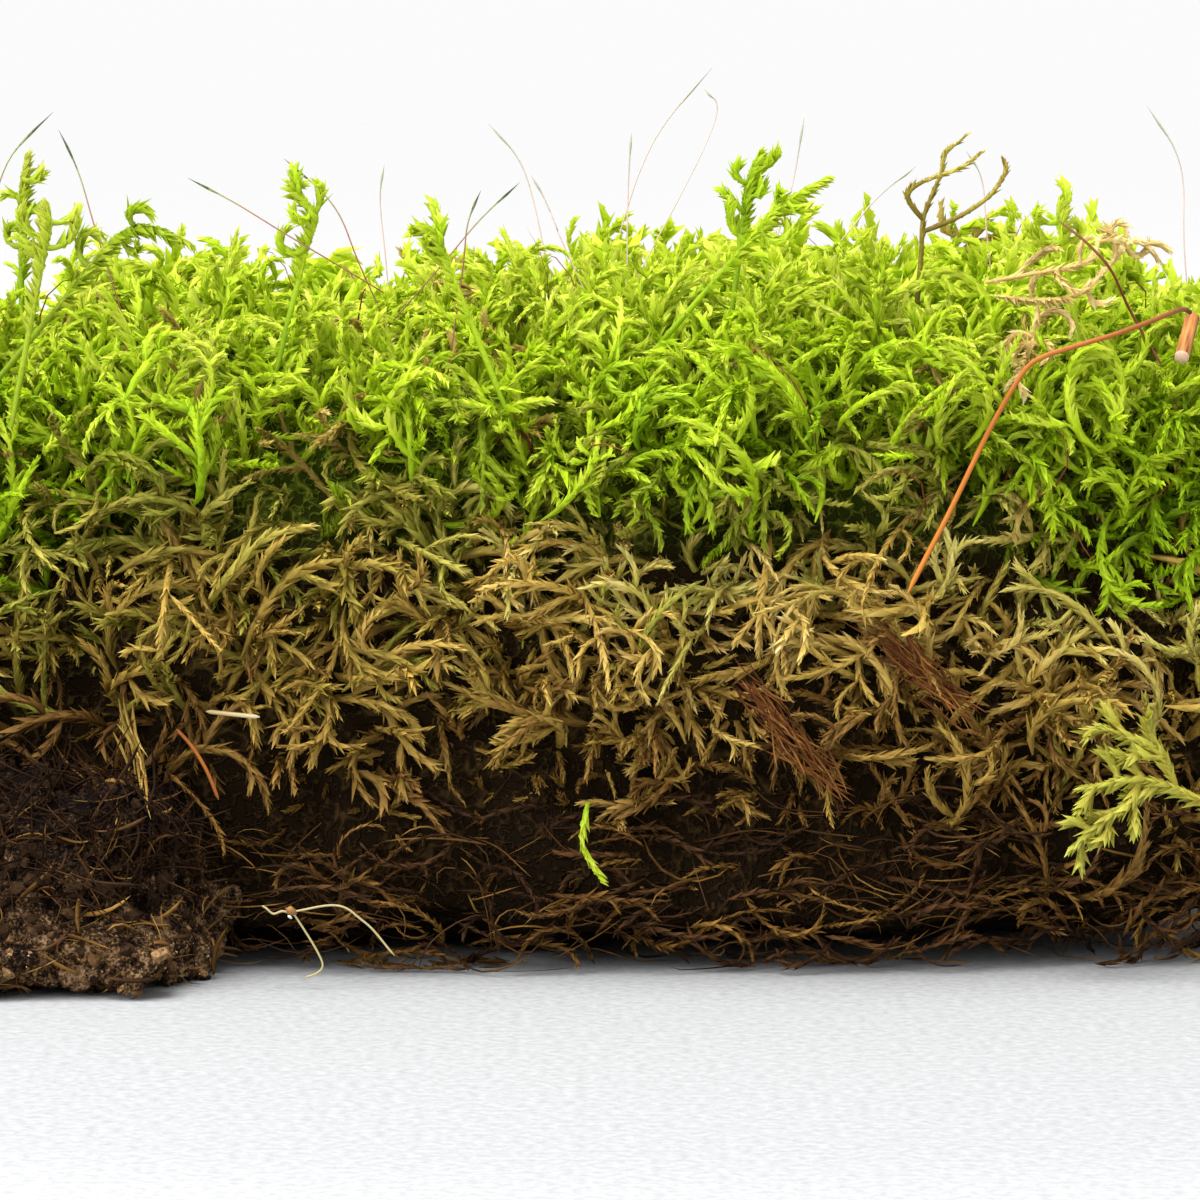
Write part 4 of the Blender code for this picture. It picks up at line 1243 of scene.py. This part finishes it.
def fibre_bundle(name, line, finish, slot, node, draw, count, wide, lengths, thick, spread):
    """Fibres felted together along a line, with ranges of lengths and thickness.

    wide is the bundle's width, and spread is how far fibres stray from the line's direction.
    """
    heading = tangents(line[None])[0, draw.integers(0, len(line), count)]
    heading = unit(heading + draw.normal(0, spread, (count, 3)))
    middle = along(line[None], np.zeros(count, dtype=int), draw.uniform(0.15, 0.85, count))
    middle += draw.normal(0, wide / 3, (count, 3))
    length = draw.uniform(*lengths, count)
    toward, degrees = draw.normal(size=(count, 3)), draw.uniform(5, 50, count)
    lines = arcs(heading, toward, degrees, length, 0.05, draw, BRANCH_POINTS)
    lines += (middle - lines[:, BRANCH_POINTS // 2])[:, None]
    radius = tapering(draw.uniform(*thick, count), BRANCH_POINTS)
    batch = stems(lines, draw.random(count) * 0.6, draw.random(count), radius)
    piece(name, [batch], finish, slot, node)


def front_of(x, z):
    """The foremost point of the clump's solids at that place across and up."""
    start, back = Vector((x, -0.1, z)), Vector((0, 1, 0))
    hits = [tree.ray_cast(start, back)[0] for tree in TREES.values()]
    return np.array(min((hit for hit in hits if hit is not None), key=lambda hit: hit.y))


def red_fibres():
    """Felted bundles of rust-brown fibres on the face, and one of pale straw beside the clod."""
    draw = np.random.default_rng(61)
    finish = leafy_finish("rust fibres", RUST, 0.6, HUMUS_DARK, clear=0.05, roughness=0.7, shine=0.15)
    for number in (1, 2):
        node = f"red_fibre_tuft_{number}"
        fibre_bundle(f"fibre_bundle_{number}", spine(node, 12), finish, "stalk", node, draw, count=105,
                     wide=2.0 * MM, lengths=(2.5 * MM, 7 * MM), thick=(0.12 * MM, 0.38 * MM), spread=0.22)
    line = smooth(np.array([front_of(x * MM, z * MM) for x, z in STRAW_BUNDLE]), 8)
    line = line - np.array([0, 2.2, 0]) * MM
    finish = leafy_finish("straw fibres", DEAD_TAN, 0.5, RUST, clear=0.1, roughness=0.6, lift=0.1)
    fibre_bundle("straw_bundle", line, finish, "straw", "brown_moss", draw, count=16,
                 wide=1.1 * MM, lengths=(5 * MM, 8 * MM), thick=(0.28 * MM, 0.5 * MM), spread=0.05)


def pale_root():
    """The pale rootlet by the floor, with a brown bulb and a white grain on it."""
    draw = np.random.default_rng(67)
    finish = plain_finish("pale root", PALE_ROOT, 0.4)
    points = 28
    lines = at_depth(routed(ROOTLET_THREADS, points), "rootlet")
    lines[1:, :, 2] += np.sin(np.linspace(0, 11, points)) * np.linspace(0, 0.2, points) * MM
    radius = np.tile(rounded_ends(0.09 * MM, points), (3, 1))
    threads = stems(lines, same(0, 3), same(0.5, 3), radius, sides=6)
    threads.growth[..., 2] = 0.3 + 0.5 * threads.growth[..., 2]
    parts = [threads]
    # The brown bulb and the white grain: offset in mm, size in bulb radii, and place in the ramp
    for offset, size, place in (((0, 0, 0), 2.5, 1), ((-0.15, -0.45, -0.4), 1, 0)):
        centre = lines[0, :1] + np.array(offset) * MM
        lump = crumbs_on(centre, same(size * BULB_RADIUS), same(0), same(0), ball_form(), draw)
        lump.growth[..., 2] = place
        parts.append(lump)
    piece("pale_root", parts, finish, "root", "rootlet")


# Floor, light and camera


def floor():
    bpy.ops.mesh.primitive_plane_add(size=30)
    made = bpy.context.object
    made.name = "floor"
    finish = Finish("white cloth")
    felt = finish.noise(0.9 * MM, 4)
    near = finish.ramp(felt, *CLOTH)
    apart = finish.node("ShaderNodeVectorMath", {0: finish.place}, operation="LENGTH").outputs["Value"]
    far = finish.step(finish.sums((apart, 1.0)), 0.12, 0.6)
    finish.surface(finish.mix(far, near, (1, 1, 1, 1)), 0.9, 0.1, felt, 0.15 * MM)
    made.data.materials.append(finish.material)


def light(name, place, size, power):
    """A square soft light that faces the clump."""
    data = bpy.data.lights.new(name, "AREA")
    data.size = size
    data.energy = power
    made = placed(name, data)
    made.location = place
    made.rotation_euler = (TARGET - Vector(place)).to_track_quat("-Z", "Y").to_euler()


def studio():
    world = bpy.data.worlds.new("studio")
    world.use_nodes = True
    world.node_tree.nodes["Background"].inputs["Color"].default_value = (0.97, 0.97, 0.975, 1)
    bpy.context.scene.world = world
    bpy.context.scene.view_settings.view_transform = "Standard"
    light("overhead", (-0.1, -0.15, 0.75), 0.5, 9)
    light("left", (-0.5, -0.55, 0.35), 0.4, 4)


def camera():
    data = bpy.data.cameras.new("camera")
    data.sensor_width = SENSOR
    data.lens = SENSOR * CAMERA_DISTANCE / FRAME_WIDTH
    made = placed("camera", data)
    back = Vector((0, -math.cos(CAMERA_RISE), math.sin(CAMERA_RISE)))
    made.location = TARGET + back * CAMERA_DISTANCE
    made.rotation_euler = (-back).to_track_quat("-Z", "Y").to_euler()
    bpy.context.scene.camera = made


camera()
studio()
floor()
core()
clod()
living_moss()
dead_moss()
humus_fibres()
spore_stalks()
leafy_shoots()
sprigs_and_strands()
bare_pieces()
red_fibres()
pale_root()
